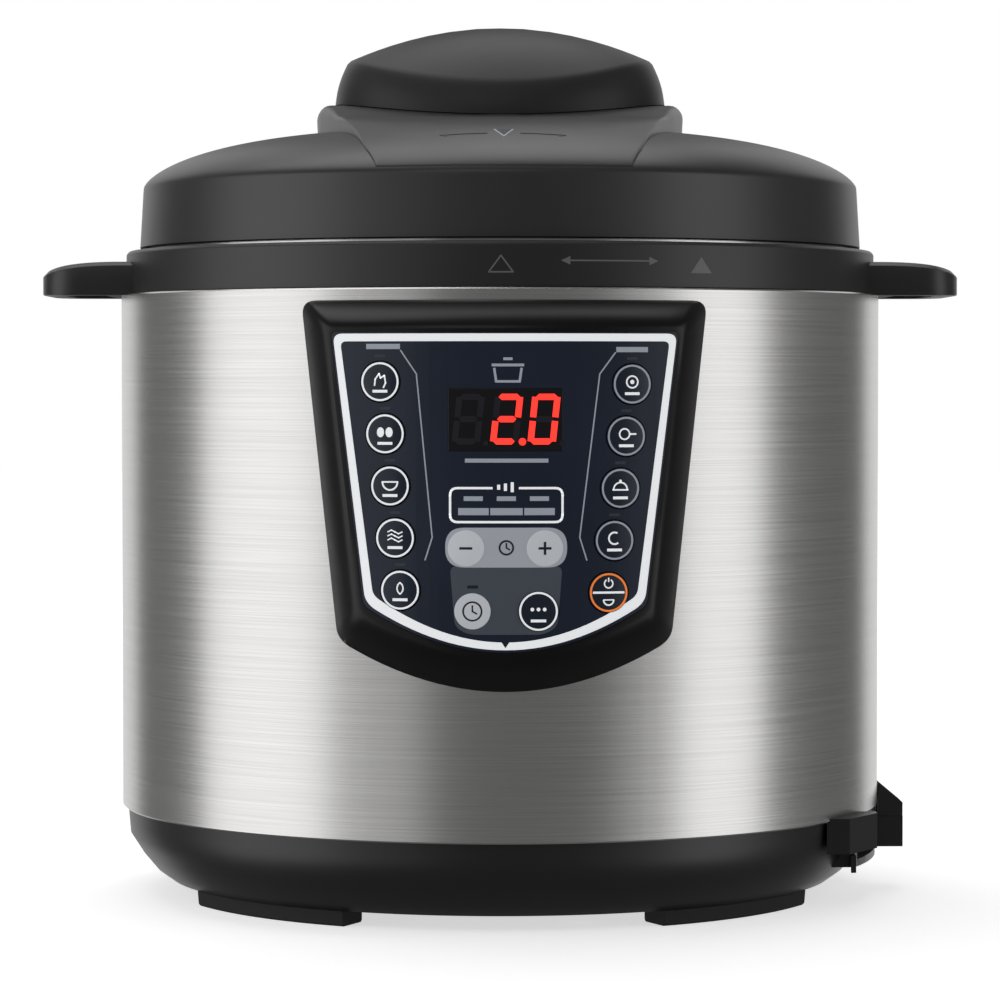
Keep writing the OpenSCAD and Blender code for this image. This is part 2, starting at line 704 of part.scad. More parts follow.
// A bent tube from the collar's channel to the cup
module drain_tube() {
    out_y = cup_y0 + cup_d / 2;
    color("whitesmoke") difference() {
        union() {
            translate([0, drain_y, drain_z]) cylinder(r = drain_r, h = sleeve_z1 - drain_z);
            translate([0, drain_y, drain_z]) sphere(r = drain_r);
            translate([0, drain_y, drain_z]) rotate([-90, 0, 0]) cylinder(r = drain_r, h = out_y - drain_y);
            translate([0, out_y, drain_z]) sphere(r = drain_r);
            translate([0, out_y, cup_z1 + 0.5]) cylinder(r = drain_r, h = drain_z - cup_z1 - 0.5);
        }
        translate([0, drain_y, drain_z]) cylinder(r = drain_bore_r, h = 20);
        for (y = [drain_y, out_y]) translate([0, y, drain_z]) sphere(r = drain_bore_r);
        translate([0, drain_y, drain_z]) rotate([-90, 0, 0]) cylinder(r = drain_bore_r, h = out_y - drain_y);
        translate([0, out_y, cup_z1 - 1]) cylinder(r = drain_bore_r, h = drain_z - cup_z1 + 1);
    }
}

// Two channels on the sleeve's back that hold the cup's runners
module cup_bracket() {
    in_x = cup_w / 2 + slide_gap;
    out_x = in_x + runner_w + slide_gap + 1.6;
    y1 = cup_y0 + cup_d - 2;
    color([0.09, 0.09, 0.1]) difference() {
        union() {
            for (s = [0, 1]) mirror([s, 0, 0])
                translate([in_x, body_r - 30, runner_z - 3]) cube([out_x - in_x, y1 - body_r + 30, cup_z1 - runner_z + 4]);
            translate([-out_x, body_r - 30, cup_z1 + 1]) cube([2 * out_x, y1 - body_r + 30, bracket_t]);
        }
        translate([0, 0, runner_z - 10]) cylinder(r = body_r, h = 40);
        translate([0, cup_y0 + cup_d / 2, cup_z1]) cylinder(r = drain_r, h = 5);
        for (s = [0, 1]) mirror([s, 0, 0]) translate([in_x - 1, body_r - 30, runner_z - slide_gap])
            cube([runner_w + slide_gap + 1, 80, runner_t + 2 * slide_gap]);
    }
}

module condensate_cup() {
    mid_y = cup_y0 + cup_d / 2;
    color([0.75, 0.78, 0.8, 0.6]) {
        difference() {
            translate([0, mid_y, cup_z0]) linear_extrude(cup_h) polygon(round_rect(cup_w, cup_d, 3));
            translate([0, mid_y, cup_z0 + cup_t]) linear_extrude(cup_h)
                polygon(round_rect(cup_w - 2 * cup_t, cup_d - 2 * cup_t, 1.5));
        }
        for (s = [0, 1]) mirror([s, 0, 0]) translate([cup_w / 2 - 0.5, cup_y0 + 3, runner_z])
            cube([runner_w + 0.5, cup_d - 6, runner_t]);
    }
}

module inner_pot() {
    color([0.25, 0.25, 0.27]) rotate_extrude() polygon([[0, pot_z0], [pot_r - 10, pot_z0], [pot_r - 3, pot_z0 + 3],
        [pot_r, pot_z0 + 10], [pot_r, pot_rim_z0], [pot_r + 7.5, pot_rim_z0], [pot_r + 7.5, pot_rim_z1],
        [pot_in, pot_rim_z1], [pot_in, pot_z0 + 10.6], [pot_in - 2.5, pot_z0 + 4.6], [pot_in - 9, pot_z0 + 2],
        [0, pot_z0 + 2]]);
}

// A gasket with a body under the lid plate and a lip on the pot's rim
module sealing_ring() {
    z0 = pot_rim_z1 + seat_gap;
    z1 = lid_plate_z0 - seat_gap;
    out = skirt_in - 0.5;
    color("whitesmoke") rotate_extrude() polygon([[pot_in + 3, z0], [out - 0.6, z0 + 0.4], [out, z0 + 3], [out, z1],
        [out - 6, z1], [out - 6, z0 + 3.4], [pot_in + 3, z0 + 2]]);
}

module lid_plate() {
    color([0.78, 0.79, 0.8]) difference() {
        union() {
            rotate_extrude() polygon([[0, lid_plate_z0], [skirt_in, lid_plate_z0], [skirt_in, lid_lug_z0],
                [skirt_r, lid_lug_z0], [skirt_r, lid_plate_z1 - 1], [skirt_r - 1, lid_plate_z1], [0, lid_plate_z1]]);
            for (i = [0 : lug_n - 1])
                arc_tube(skirt_in - lug_l, skirt_in + 0.5, lid_lug_z0, lid_lug_z1, -90 + 360 / lug_n * i, lug_arc);
        }
        translate([0, valve_y, lid_plate_z0 - 1]) cylinder(r = vent_r, h = 5);
        translate([-float_x, float_y, lid_plate_z0 - 1]) cylinder(r = float_r + run_gap, h = 5);
    }
}

// The hub and its tongue: a plan outline cut to a side outline, both moved inwards by g
module hub_solid(g) {
    edge = lid_r1 - 0.3;
    slide_r = hub_hw + 4;
    low = shoulder_z - g;
    plan = [for (i = [0 : 12]) let (t = 15 * i) [(hub_hw - g) * cos(t), (hub_hd - g) * sin(t)]];
    front = [[-hub_hw + g + 1.5, -24], [-hub_hw + g + 6, -45], [-tongue_hw + g - 12, -66], [-tongue_hw + g - 7, -88],
        [-tongue_hw + g - 3, -108], [-tongue_hw + g, -edge - 2]];
    saddle = [for (i = [6 : -1 : -6]) let (y = hub_hd * i / 6) [y, hub_z + 0.1 - cap_dip * pow(y / cap_hd, 2) - g]];
    slope = [[-68, hub_z - 8.7 - g], [-85, hub_z - 10.9 - g], [-100, hub_z - 12.6 - g], [-edge - 2, hub_z - 15 - g]];
    slide = [for (i = [0 : 10]) let (u = 1 - i / 10, r = edge - g - (edge - slide_r) * u)
        [r, low + dome_rise(r + g, lid_r1, dome_h) + 1.4 * sqrt(u) + (hub_h - 1.5) * pow(u, 2.5)]];
    intersection() {
        linear_extrude(hub_z + 5) polygon(concat(plan, front, [for (i = [5 : -1 : 0]) [-front[i][0], front[i][1]]]));
        translate([-100, 0, 0]) rotate([90, 0, 90]) linear_extrude(200)
            polygon(concat([[hub_hd, low]], saddle, slope, [[-edge - 2, low]]));
        rotate_extrude() polygon(concat([[0, low], [0, hub_z + 2], [slide_r - g, hub_z + 2]], slide,
            [[edge - g, low]]));
    }
}

module lid_cover() {
    color([0.1, 0.1, 0.11]) difference() {
        union() {
            difference() {
                union() {
                    rotate_extrude() polygon(concat([[0, lid_z0], [lid_r0, lid_z0]],
                        [for (i = [24 : -1 : 0]) dome_points(lid_r1, dome_h, shoulder_z)[i]]));
                    hub_solid(0);
                }
                rotate_extrude() polygon(concat([[0, lid_z0 - 1], [lid_r0 - lid_t, lid_z0 - 1]],
                    [for (i = [24 : -1 : 0]) dome_points(lid_r1 - lid_t, dome_h - 0.4, shoulder_z - 1.6)[i]]));
                hub_solid(lid_t + 0.5);
            }
            for (s = [-1, 1]) translate([s * boss_x, 0, lid_plate_z1]) cylinder(r = boss_r, h = cap_z0 - lid_plate_z1);
        }
        for (s = [-1, 1]) translate([s * boss_x, 0, lid_plate_z1 - 1]) cylinder(r = screw_r, h = 60);
        translate([0, valve_y, lid_plate_z1]) cylinder(r = 8, h = 50);
        translate([-float_x, float_y, lid_plate_z1]) cylinder(r = 5.5, h = 50);
    }
}

module lid_screws() {
    color("gray") for (s = [-1, 1]) translate([s * boss_x, 0, 0]) {
        translate([0, 0, lid_plate_z1]) cylinder(r = screw_r, h = cap_z0 - lid_plate_z1);
        translate([0, 0, cap_z0]) cylinder(r = 4, h = 2.4);
    }
}

// A domed grip: rings up the inside to its ceiling are joined to rings up the outside
module handle_cap() {
    crease_hw = cap_hw - cap_draft;
    crease_hd = cap_hd - cap_draft + 0.7;
    front_h = crown_h * 1.8;
    crown = [1, 0.92, 0.8, 0.66, 0.5, 0.32, 0.14];
    shell = concat(
        [for (i = [6 : -1 : 0]) let (s = crown[i]) cap_ring((crease_hw - cap_t) * s, (crease_hd - cap_t) * s,
            crown_z - cap_t - crown_h * s * s, crown_z - cap_t - front_h * s * s)],
        [cap_ring(cap_hw - cap_t, cap_hd - cap_t, cap_z0, cap_z0 - cap_dip),
            cap_ring(cap_hw, cap_hd, cap_z0, cap_z0 - cap_dip),
            cap_ring(cap_hw - 1.6, cap_hd - 1.5, cap_z0 + cap_wall_h / 2, cap_z0 - cap_dip + cap_wall_h * 0.38)],
        [for (s = crown) cap_ring(crease_hw * s, crease_hd * s, crown_z - crown_h * s * s, crown_z - front_h * s * s)]);
    color([0.12, 0.12, 0.13]) {
        loft(shell);
        for (s = [-1, 1]) translate([s * boss_x, 0, 0])
            tube(boss_r - 1.4, boss_r, cap_z0, crown_z - crown_h * pow(boss_x / crease_hw, 2) - 1.5);
    }
}

module vent_pipe() {
    color("silver") translate([0, valve_y, 0]) difference() {
        rotate_extrude() polygon([[1.5, lid_plate_z0 - 4], [5, lid_plate_z0 - 4], [5, lid_plate_z0],
            [vent_r, lid_plate_z0], [vent_r, lid_plate_z1], [6, lid_plate_z1], [6, lid_plate_z1 + 5],
            [vent_r, lid_plate_z1 + 5], [vent_r, hub_z - 6], [1.5, hub_z - 6]]);
        translate([-7, -0.6, lid_plate_z0 - 5]) cube([14, 1.2, 3]);
    }
}

module anti_block_cover() {
    color("silver") translate([0, valve_y, 0]) difference() {
        translate([0, 0, lid_plate_z0 - 8]) cylinder(r = 11, h = 8);
        translate([0, 0, lid_plate_z0 - 7]) cylinder(r = 10, h = 8);
        for (a = [0 : 30 : 150]) rotate([0, 0, a]) translate([-12, -1, lid_plate_z0 - 6]) cube([24, 2, 4]);
    }
}

module float_valve() {
    color("silver") translate([-float_x, float_y, 0]) rotate_extrude() polygon([[0, lid_plate_z0 - 7],
        [4, lid_plate_z0 - 7], [4, lid_plate_z0 - 6], [float_r, lid_plate_z0 - 6], [float_r, lid_plate_z1 + seat_gap],
        [4.5, lid_plate_z1 + seat_gap], [4.5, lid_plate_z1 + 1.8], [float_r, lid_plate_z1 + 1.8],
        [float_r, shoulder_z + dome_h - 3.6], [float_r - 0.6, shoulder_z + dome_h - 3], [0, shoulder_z + dome_h - 3]]);
}

module float_seal() {
    color("white") translate([-float_x, float_y, 0])
        tube(float_r, 5, lid_plate_z0 - 6, lid_plate_z0 - float_travel - 0.3);
}

// A weight that turns on the vent pipe, with a finger tab
module pressure_valve() {
    z0 = shoulder_z + dome_h - 1.7;
    color([0.08, 0.08, 0.09]) translate([0, valve_y, 0]) difference() {
        union() {
            rotate_extrude() polygon([[0, z0], [valve_r, z0], [valve_r, z0 + valve_h - 3],
                [valve_r - 2.5, z0 + valve_h], [0, z0 + valve_h]]);
            translate([-4, 0, z0 + 2]) cube([8, valve_r + 9, valve_h - 5]);
        }
        translate([0, 0, z0 - 1]) cylinder(r = vent_r + run_gap, h = hub_z - 6 - z0 + 1.5);
    }
}

white_key = [0.55, 0.57, 0.6];
dark_key = [0.1, 0.12, 0.16];

module left_key(i) {
    key(-left_x + left_step * i, row_top + row_pitch * i, button_r, dark_key);
}

module right_key(i) {
    key(right_x - right_step * i, row_top + row_pitch * i + 0.8, button_r, dark_key);
}

steel_sleeve();
collar();
handle_left();
handle_right();
base_shell();
feet();
bottom_plate();
base_screws();
support_posts();
outer_pot();
heating_plate();
element_terminals();
sensor_bracket();
sensor_spring();
sensor_cap();
thermal_fuse();
pressure_switch();
power_board();
panel_bezel();
panel_overlay();
display_window();
display_module();
control_board();
key_switches();
inlet_housing();
inlet_pins();
drain_tube();
cup_bracket();
condensate_cup();
inner_pot();
sealing_ring();
lid_plate();
lid_cover();
lid_screws();
handle_cap();
vent_pipe();
anti_block_cover();
float_valve();
float_seal();
pressure_valve();
left_key(0);  // button_meat
left_key(1);  // button_beans
left_key(2);  // button_rice
left_key(3);  // button_soup
left_key(4);  // button_recipe
right_key(0);  // button_roast
right_key(1);  // button_fry
right_key(2);  // button_saute
right_key(3);  // button_slow
right_key(4);  // button_power
key(-adjust_x, adjust_drop, small_button_r, white_key);  // button_minus
key(adjust_x, adjust_drop, small_button_r, white_key);  // button_plus
key(-timer_x, timer_drop, small_button_r, white_key);  // button_timer
key(timer_x, timer_drop, button_r, white_key);  // button_taste
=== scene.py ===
"""Looks of an electric pressure cooker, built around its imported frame.

A piece is shaped in millimetres and its mesh is turned to metres when it is finished. +Z is up, the keypad faces -Y
and +X is to the right of someone who looks at the keypad.
"""

import json
import logging
import math
from dataclasses import astuple, dataclass, field
from enum import Enum

import bmesh
import bpy
from mathutils import Matrix, Vector

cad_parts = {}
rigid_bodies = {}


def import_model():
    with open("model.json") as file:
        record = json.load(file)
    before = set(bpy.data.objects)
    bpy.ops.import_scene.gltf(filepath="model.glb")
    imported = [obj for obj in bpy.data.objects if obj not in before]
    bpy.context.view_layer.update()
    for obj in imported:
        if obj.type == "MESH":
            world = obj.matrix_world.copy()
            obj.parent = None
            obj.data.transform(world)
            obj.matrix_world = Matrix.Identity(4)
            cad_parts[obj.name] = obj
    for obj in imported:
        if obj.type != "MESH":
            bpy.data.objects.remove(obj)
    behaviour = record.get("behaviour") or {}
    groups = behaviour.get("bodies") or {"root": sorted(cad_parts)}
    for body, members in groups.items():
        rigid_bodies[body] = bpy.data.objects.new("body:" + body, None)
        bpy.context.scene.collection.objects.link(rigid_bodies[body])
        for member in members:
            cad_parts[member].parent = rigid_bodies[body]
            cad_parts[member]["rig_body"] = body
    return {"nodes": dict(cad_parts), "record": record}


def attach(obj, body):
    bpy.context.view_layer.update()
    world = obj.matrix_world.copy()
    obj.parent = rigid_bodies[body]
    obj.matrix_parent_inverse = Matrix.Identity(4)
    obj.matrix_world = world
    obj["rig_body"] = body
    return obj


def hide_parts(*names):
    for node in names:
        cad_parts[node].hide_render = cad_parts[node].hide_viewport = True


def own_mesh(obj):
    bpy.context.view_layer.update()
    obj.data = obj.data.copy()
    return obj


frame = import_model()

logging.basicConfig(level=logging.INFO, format="%(name)s: %(message)s")
log = logging.getLogger("cooker")

Point = tuple[float, float]
Colour = tuple[float, float, float]
MM = 0.001
WELD = 1e-4  # millimetres between two points that are one
SEAM = 0.002  # millimetres between the points of two CAD faces that meet
FLAT_ANGLE = 0.6  # degrees between two CAD faces that are one
BEVEL_ANGLE = 35.0  # degrees that an edge turns before it is rounded
TURNS = 240  # segments of the large round pieces
PATCHES = 28.0  # broad patches of tone and gloss in a metre
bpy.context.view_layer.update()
SLOTS = {part["node"]: part["material_slot"] for part in frame["record"]["subparts"]}


# ---------------------------------------------------------------- finishes


@dataclass(frozen=True)
class Finish:
    """What every finish shares: a name, a colour, a gloss and the size of its grain.

    Args:
        name: The material's name.
        colour: Linear base colour.
        roughness: Mean roughness.
        grain_mm: Size of the surface grain, in millimetres.
        grain_depth: Depth of the grain, in millimetres.
        mottling: How far the colour and the gloss wander, as a share.
    """

    name: str
    colour: Colour
    roughness: float
    grain_mm: float = 0.5
    grain_depth: float = 0.01
    mottling: float = 0.08

    def stretch(self) -> Colour:
        """Give the scale of the grain along X, Y and Z, before its size."""
        return (1.0, 1.0, 1.0)

    def tune(self, shader: bpy.types.ShaderNode) -> None:
        """Set what is special to this finish on the shader's own sockets."""

    def material(self) -> bpy.types.Material:
        """Build the material once, or find it again.

        Returns:
            The node material.
        """
        if self.name in bpy.data.materials:
            return bpy.data.materials[self.name]
        mat = bpy.data.materials.new(self.name)
        mat.use_nodes = True
        tree = mat.node_tree
        shader = tree.nodes["Principled BSDF"]
        where = tree.nodes.new("ShaderNodeTexCoord")
        fit = tree.nodes.new("ShaderNodeMapping")
        fit.inputs["Scale"].default_value = self.stretch()
        tree.links.new(where.outputs["Object"], fit.inputs["Vector"])
        grain = self.noise(tree, fit, 1 / (self.grain_mm * MM), 3)
        patches = self.noise(tree, where, PATCHES, 4)
        bump = tree.nodes.new("ShaderNodeBump")
        bump.inputs["Distance"].default_value = self.grain_depth * MM
        tree.links.new(grain.outputs["Fac"], bump.inputs["Height"])
        tree.links.new(bump.outputs["Normal"], shader.inputs["Normal"])
        tone = tree.nodes.new("ShaderNodeValToRGB")
        for stop, share in zip(tone.color_ramp.elements, (1 - self.mottling, 1 + self.mottling)):
            stop.color = (*(min(1.0, c * share) for c in self.colour), 1)
        tone.color_ramp.elements[0].position = 0.3
        tone.color_ramp.elements[1].position = 0.7
        tree.links.new(self.gloss_source(grain, patches).outputs["Fac"], tone.inputs["Fac"])
        tree.links.new(tone.outputs["Color"], shader.inputs["Base Color"])
        gloss = tree.nodes.new("ShaderNodeMapRange")
        gloss.inputs["To Min"].default_value = self.roughness * (1 - self.mottling)
        gloss.inputs["To Max"].default_value = self.roughness * (1 + self.mottling)
        tree.links.new(self.gloss_source(grain, patches).outputs["Fac"], gloss.inputs["Value"])
        tree.links.new(gloss.outputs["Result"], shader.inputs["Roughness"])
        self.tune(shader)
        return mat

    def gloss_source(self, grain: bpy.types.ShaderNode, patches: bpy.types.ShaderNode) -> bpy.types.ShaderNode:
        """Choose the pattern that tone and gloss follow: broad patches unless a finish says otherwise."""
        return patches

    def noise(self, tree: bpy.types.NodeTree, source: bpy.types.ShaderNode, scale: float, detail: float
              ) -> bpy.types.ShaderNode:
        """Add a noise pattern.

        Args:
            tree: The material's nodes.
            source: A texture coordinate or mapping node.
            scale: Repeats in a metre.
            detail: Octaves.

        Returns:
            The noise node.
        """
        node = tree.nodes.new("ShaderNodeTexNoise")
        node.inputs["Scale"].default_value = scale
        node.inputs["Detail"].default_value = detail
        tree.links.new(source.outputs["Object" if "Object" in source.outputs else "Vector"], node.inputs["Vector"])
        return node


@dataclass(frozen=True)
class Plastic(Finish):
    """Moulded plastic or rubber with a fine spark-eroded grain.

    Args:
        specular: How strongly its surface shines.
        coat: How much polish lies on top.
        coat_roughness: Roughness of that polish.
    """

    specular: float = 0.5
    coat: float = 0.0
    coat_roughness: float = 0.12

    def tune(self, shader: bpy.types.ShaderNode) -> None:
        """Set the specular level and the polish on top.

        Args:
            shader: The material's shader.
        """
        shader.inputs["Specular IOR Level"].default_value = self.specular
        shader.inputs["Coat Weight"].default_value = self.coat
        shader.inputs["Coat Roughness"].default_value = self.coat_roughness


@dataclass(frozen=True)
class Metal(Finish):
    """Bare metal with a grain that may run one way, as brushing or turning does.

    Args:
        run: Scale of the grain along X, Y and Z: it is long where this is small.
        anisotropy: How far its glints are drawn out.
    """

    run: Colour = (1.0, 1.0, 1.0)
    anisotropy: float = 0.0

    def stretch(self) -> Colour:
        """Draw the grain out along the run."""
        return self.run

    def gloss_source(self, grain: bpy.types.ShaderNode, patches: bpy.types.ShaderNode) -> bpy.types.ShaderNode:
        """Tone and gloss follow the brushing itself."""
        return grain

    def tune(self, shader: bpy.types.ShaderNode) -> None:
        """Make it metal."""
        shader.inputs["Metallic"].default_value = 1.0
        shader.inputs["Anisotropic"].default_value = self.anisotropy


@dataclass(frozen=True)
class Ink(Finish):
    """Printed ink, which may glow. The red digits' glow is the display's own light; on the white, pale and silver inks
    and the silver keys the glow is painted light that makes them brighter than the lamps do.

    Args:
        glow: How bright it is by itself: the lit digits' own light, and painted light on the white, pale and silver
            inks and keys.
        shine: How strongly its surface shines.
    """

    glow: float = 0.0
    shine: float = 0.35

    def tune(self, shader: bpy.types.ShaderNode) -> None:
        """Set its shine, and make it emit light if it glows: a lamp for the lit digits, painted light for the white,
        pale and silver prints.

        Args:
            shader: The material's shader.
        """
        shader.inputs["Specular IOR Level"].default_value = self.shine
        if self.glow:
            shader.inputs["Emission Color"].default_value = (*self.colour, 1)
            shader.inputs["Emission Strength"].default_value = self.glow


@dataclass(frozen=True)
class Clear(Finish):
    """Clear moulded plastic.

    Args:
        clarity: Share of the light that passes.
        bending: Its index of refraction.
    """

    clarity: float = 0.9
    bending: float = 1.49

    def tune(self, shader: bpy.types.ShaderNode) -> None:
        """Let the light through."""
        shader.inputs["Transmission Weight"].default_value = self.clarity
        shader.inputs["IOR"].default_value = self.bending


STEEL = Metal("brushed_sleeve_steel", (0.68, 0.675, 0.665), 0.26, 0.4, 0.005, 0.08, run=(0.006, 0.006, 1.0),
              anisotropy=0.45)
LID_STEEL = Metal("pressed_lid_steel", (0.7, 0.7, 0.69), 0.24, 0.6, 0.004, 0.12, run=(0.06, 0.06, 1.0))
SPUN_ALUMINIUM = Metal("spun_aluminium", (0.74, 0.75, 0.76), 0.36, 0.7, 0.006, 0.14, run=(0.05, 0.05, 1.0))
CAST_ALUMINIUM = Metal("cast_aluminium", (0.6, 0.6, 0.61), 0.5, 0.9, 0.03, 0.12)
TURNED_STEEL = Metal("turned_steel", (0.7, 0.7, 0.7), 0.18, 0.4, 0.003, 0.1)
BRASS = Metal("plated_brass", (0.82, 0.76, 0.62), 0.22, 0.5, 0.004, 0.1)
SCREW_STEEL = Metal("zinc_screw", (0.6, 0.6, 0.6), 0.3, 0.5, 0.008, 0.12)
COLLAR_BLACK = Plastic("collar_black", (0.014, 0.014, 0.015), 0.42, 0.45, 0.012, 0.1, specular=0.7)
LID_BLACK = Plastic("lid_black", (0.022, 0.022, 0.023), 0.4, 0.45, 0.014, 0.1, specular=0.75)
CAP_BLACK = Plastic("cap_black", (0.022, 0.022, 0.023), 0.46, 0.45, 0.012, 0.1, specular=0.4)
BASE_BLACK = Plastic("base_black", (0.009, 0.009, 0.01), 0.38, 0.5, 0.008, 0.1, specular=0.65)
BEZEL_BLACK = Plastic("bezel_black", (0.005, 0.005, 0.0055), 0.3, 0.4, 0.003, 0.1, specular=0.32)
VALVE_BLACK = Plastic("valve_black", (0.016, 0.016, 0.017), 0.46, 0.45, 0.012, 0.1)
FOOT_RUBBER = Plastic("foot_rubber", (0.012, 0.012, 0.012), 0.72, 0.8, 0.03, 0.15, specular=0.3)
SILICONE = Plastic("silicone", (0.72, 0.71, 0.68), 0.5, 0.7, 0.008, 0.06, specular=0.4)
NON_STICK = Plastic("non_stick_coating", (0.05, 0.05, 0.052), 0.34, 0.35, 0.012, 0.12, specular=0.6)
FILM_NAVY = Plastic("film_navy", (0.011, 0.02, 0.044), 0.3, 0.3, 0.002, 0.08, coat=0.2)
KEY_NAVY = Plastic("key_navy", (0.012, 0.02, 0.042), 0.3, 0.3, 0.003, 0.1, coat=0.2)
WINDOW_DARK = Plastic("window_dark", (0.0035, 0.0035, 0.006), 0.2, 0.3, 0.001, 0.06, coat=0.3)
CERAMIC = Plastic("glazed_ceramic", (0.72, 0.71, 0.66), 0.25, 1.2, 0.01, 0.05)
PHENOLIC = Plastic("phenolic", (0.09, 0.05, 0.025), 0.5, 0.5, 0.01, 0.15)
SOLDER_MASK = Plastic("solder_mask", (0.012, 0.11, 0.04), 0.32, 0.9, 0.01, 0.15, coat=0.3)
CLEAR = Clear("clear_cup", (0.93, 0.95, 0.96), 0.08, 1.5, 0.004, 0.02)
# The glow of the white and pale inks is painted light: it makes the prints brighter than the lamps light them.
INK_WHITE = Ink("ink_white", (0.86, 0.88, 0.9), 0.4, 0.4, 0.001, 0.03, glow=0.5)
INK_PALE = Ink("ink_pale", (0.42, 0.46, 0.52), 0.4, 0.4, 0.001, 0.04, glow=0.2)
INK_FAINT = Ink("ink_faint", (0.2, 0.2, 0.205), 0.4, 0.4, 0.001, 0.04)
INK_GREY = Ink("ink_grey", (0.06, 0.07, 0.095), 0.4, 0.4, 0.001, 0.06)
INK_GHOST = Ink("ink_ghost", (0.022, 0.022, 0.03), 0.4, 0.4, 0.001, 0.06)
# The silver ink's glow is painted light: a painted sheen that makes the pill brighter than the lamps light it.
INK_SILVER = Ink("ink_silver", (0.42, 0.44, 0.49), 0.32, 0.4, 0.001, 0.05, glow=0.25)
INK_DARK = Ink("ink_dark", (0.02, 0.025, 0.035), 0.4, 0.4, 0.001, 0.05)
INK_CLUSTER = Ink("ink_cluster", (0.115, 0.135, 0.17), 0.34, 0.4, 0.001, 0.05)
INK_ORANGE = Ink("ink_orange", (0.9, 0.22, 0.04), 0.4, 0.4, 0.001, 0.04, glow=0.5)
DIGIT_RED = Ink("digit_red", (1.0, 0.03, 0.02), 0.4, 0.4, 0.001, 0.03, glow=1.6)
# The silver keys' glow is painted light: a painted sheen that makes them brighter than the lamps light them.
KEY_SILVER = Ink("key_silver", (0.56, 0.58, 0.62), 0.3, 0.3, 0.003, 0.06, glow=0.32)


# ---------------------------------------------------------------- mesh helpers


def finish_piece(name: str, bm: bmesh.types.BMesh, body: str, finish: Finish, slot: str,
                 replaces: tuple[str, ...] = (), smooth: float = 32.0, bevel: float = 0.0, segments: int = 2
                 ) -> bpy.types.Object:
    """Turn a mesh in millimetres into a finished piece of the cooker.

    Args:
        name: The piece's name.
        bm: The mesh, which is freed.
        body: The body that it rides on.
        finish: Its finish.
        slot: The record's material slot; not used.
        replaces: CAD nodes that it stands for.
        smooth: Edges that turn less than this angle are smooth.
        bevel: Width of the rounding of its edges, in millimetres.
        segments: Segments of that rounding.

    Returns:
        The object, at the origin.
    """
    bmesh.ops.remove_doubles(bm, verts=bm.verts, dist=WELD)
    bmesh.ops.recalc_face_normals(bm, faces=bm.faces)
    bmesh.ops.scale(bm, vec=(MM, MM, MM), verts=bm.verts)
    mesh = bpy.data.meshes.new(name)
    bm.to_mesh(mesh)
    bm.free()
    mesh.shade_smooth()
    mesh.set_sharp_from_angle(angle=math.radians(smooth))
    mesh.materials.append(finish.material())
    piece = bpy.data.objects.new(name, mesh)
    bpy.context.scene.collection.objects.link(piece)
    if bevel:
        edge = piece.modifiers.new("edges", "BEVEL")
        edge.width = bevel * MM
        edge.segments = segments
        edge.limit_method = "ANGLE"
        edge.angle_limit = math.radians(BEVEL_ANGLE)
        edge.harden_normals = True
    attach(piece, body)
    if replaces:
        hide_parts(*replaces)
    log.info("%s rides on %s, %d faces", name, body, len(mesh.polygons))
    return piece


def soften(points: list[Point], radius: float, steps: int = 5) -> list[Point]:
    """Round a closed outline's corners.

    Args:
        points: The outline's corners.
        radius: How far each rounding reaches from its corner, as far as its sides allow.
        steps: Segments of each rounding.

    Returns:
        The rounded outline.
    """
    count = len(points)
    out: list[Point] = []
    for i, here in enumerate(points):
        corner, before, after = Vector(here), Vector(points[i - 1]), Vector(points[(i + 1) % count])
        reach = min(radius, (before - corner).length * 0.48, (after - corner).length * 0.48)
        start = corner + (before - corner).normalized() * reach
        end = corner + (after - corner).normalized() * reach
        for k in range(steps + 1):
            t = k / steps
            out.append(tuple(start * (1 - t) ** 2 + corner * 2 * t * (1 - t) + end * t ** 2))
    return out


def lathe(profile: list[Point], steps: int, closed: bool = True) -> bmesh.types.BMesh:
    """Spin a profile once round the Z axis.

    Args:
        profile: Points of radius and height.
        steps: Segments of the whole turn.
        closed: Whether the profile is a loop.

    Returns:
        The mesh.
    """
    bm = bmesh.new()
    verts = [bm.verts.new((r, 0, z)) for r, z in profile]
    pairs = zip(verts, verts[1:] + verts[:1] if closed else verts[1:])
    edges = [bm.edges.new(pair) for pair in pairs]
    bmesh.ops.spin(bm, geom=verts + edges, cent=(0, 0, 0), axis=(0, 0, 1), angle=math.tau, steps=steps,
                   use_merge=True)
    bmesh.ops.remove_doubles(bm, verts=bm.verts, dist=WELD)
    return bm


def stack(rings: list[list[Vector]], loop: bool = False, low_cap: bool = False, high_cap: bool = False
          ) -> bmesh.types.BMesh:
    """Join rings of points, one to the next.

    Args:
        rings: Rings with the same number of points.
        loop: Whether the last ring joins the first.
        low_cap: Whether the first ring is closed by a face.
        high_cap: Whether the last ring is closed by a face.

    Returns:
        The mesh.
    """
    bm = bmesh.new()
    loops = []
    for ring in rings:
        verts = [bm.verts.new(p) for p in ring]
        loops.append([bm.edges.new(pair) for pair in zip(verts, verts[1:] + verts[:1])])
    for low, high in zip(loops, loops[1:] + loops[:1] if loop else loops[1:]):
        bmesh.ops.bridge_loops(bm, edges=low + high)
    caps = ([loops[0]] if low_cap else []) + ([loops[-1]] if high_cap else [])
    for edges in caps:
        bmesh.ops.contextual_create(bm, geom=edges)
    return bm


def refine_all(rows: tuple[tuple[str, Finish, float], ...]) -> None:
    """Refine several nodes: a row gives a node, its finish and the rounding of its edges."""
    for node, finish, bevel in rows:
        refine(node, finish, bevel)


def slice_at(bm: bmesh.types.BMesh, point: Vector, normal: Vector) -> None:
    """Cut a whole mesh's faces along a plane, and keep both sides."""
    bmesh.ops.bisect_plane(bm, geom=bm.verts[:] + bm.edges[:] + bm.faces[:], plane_co=point, plane_no=normal)


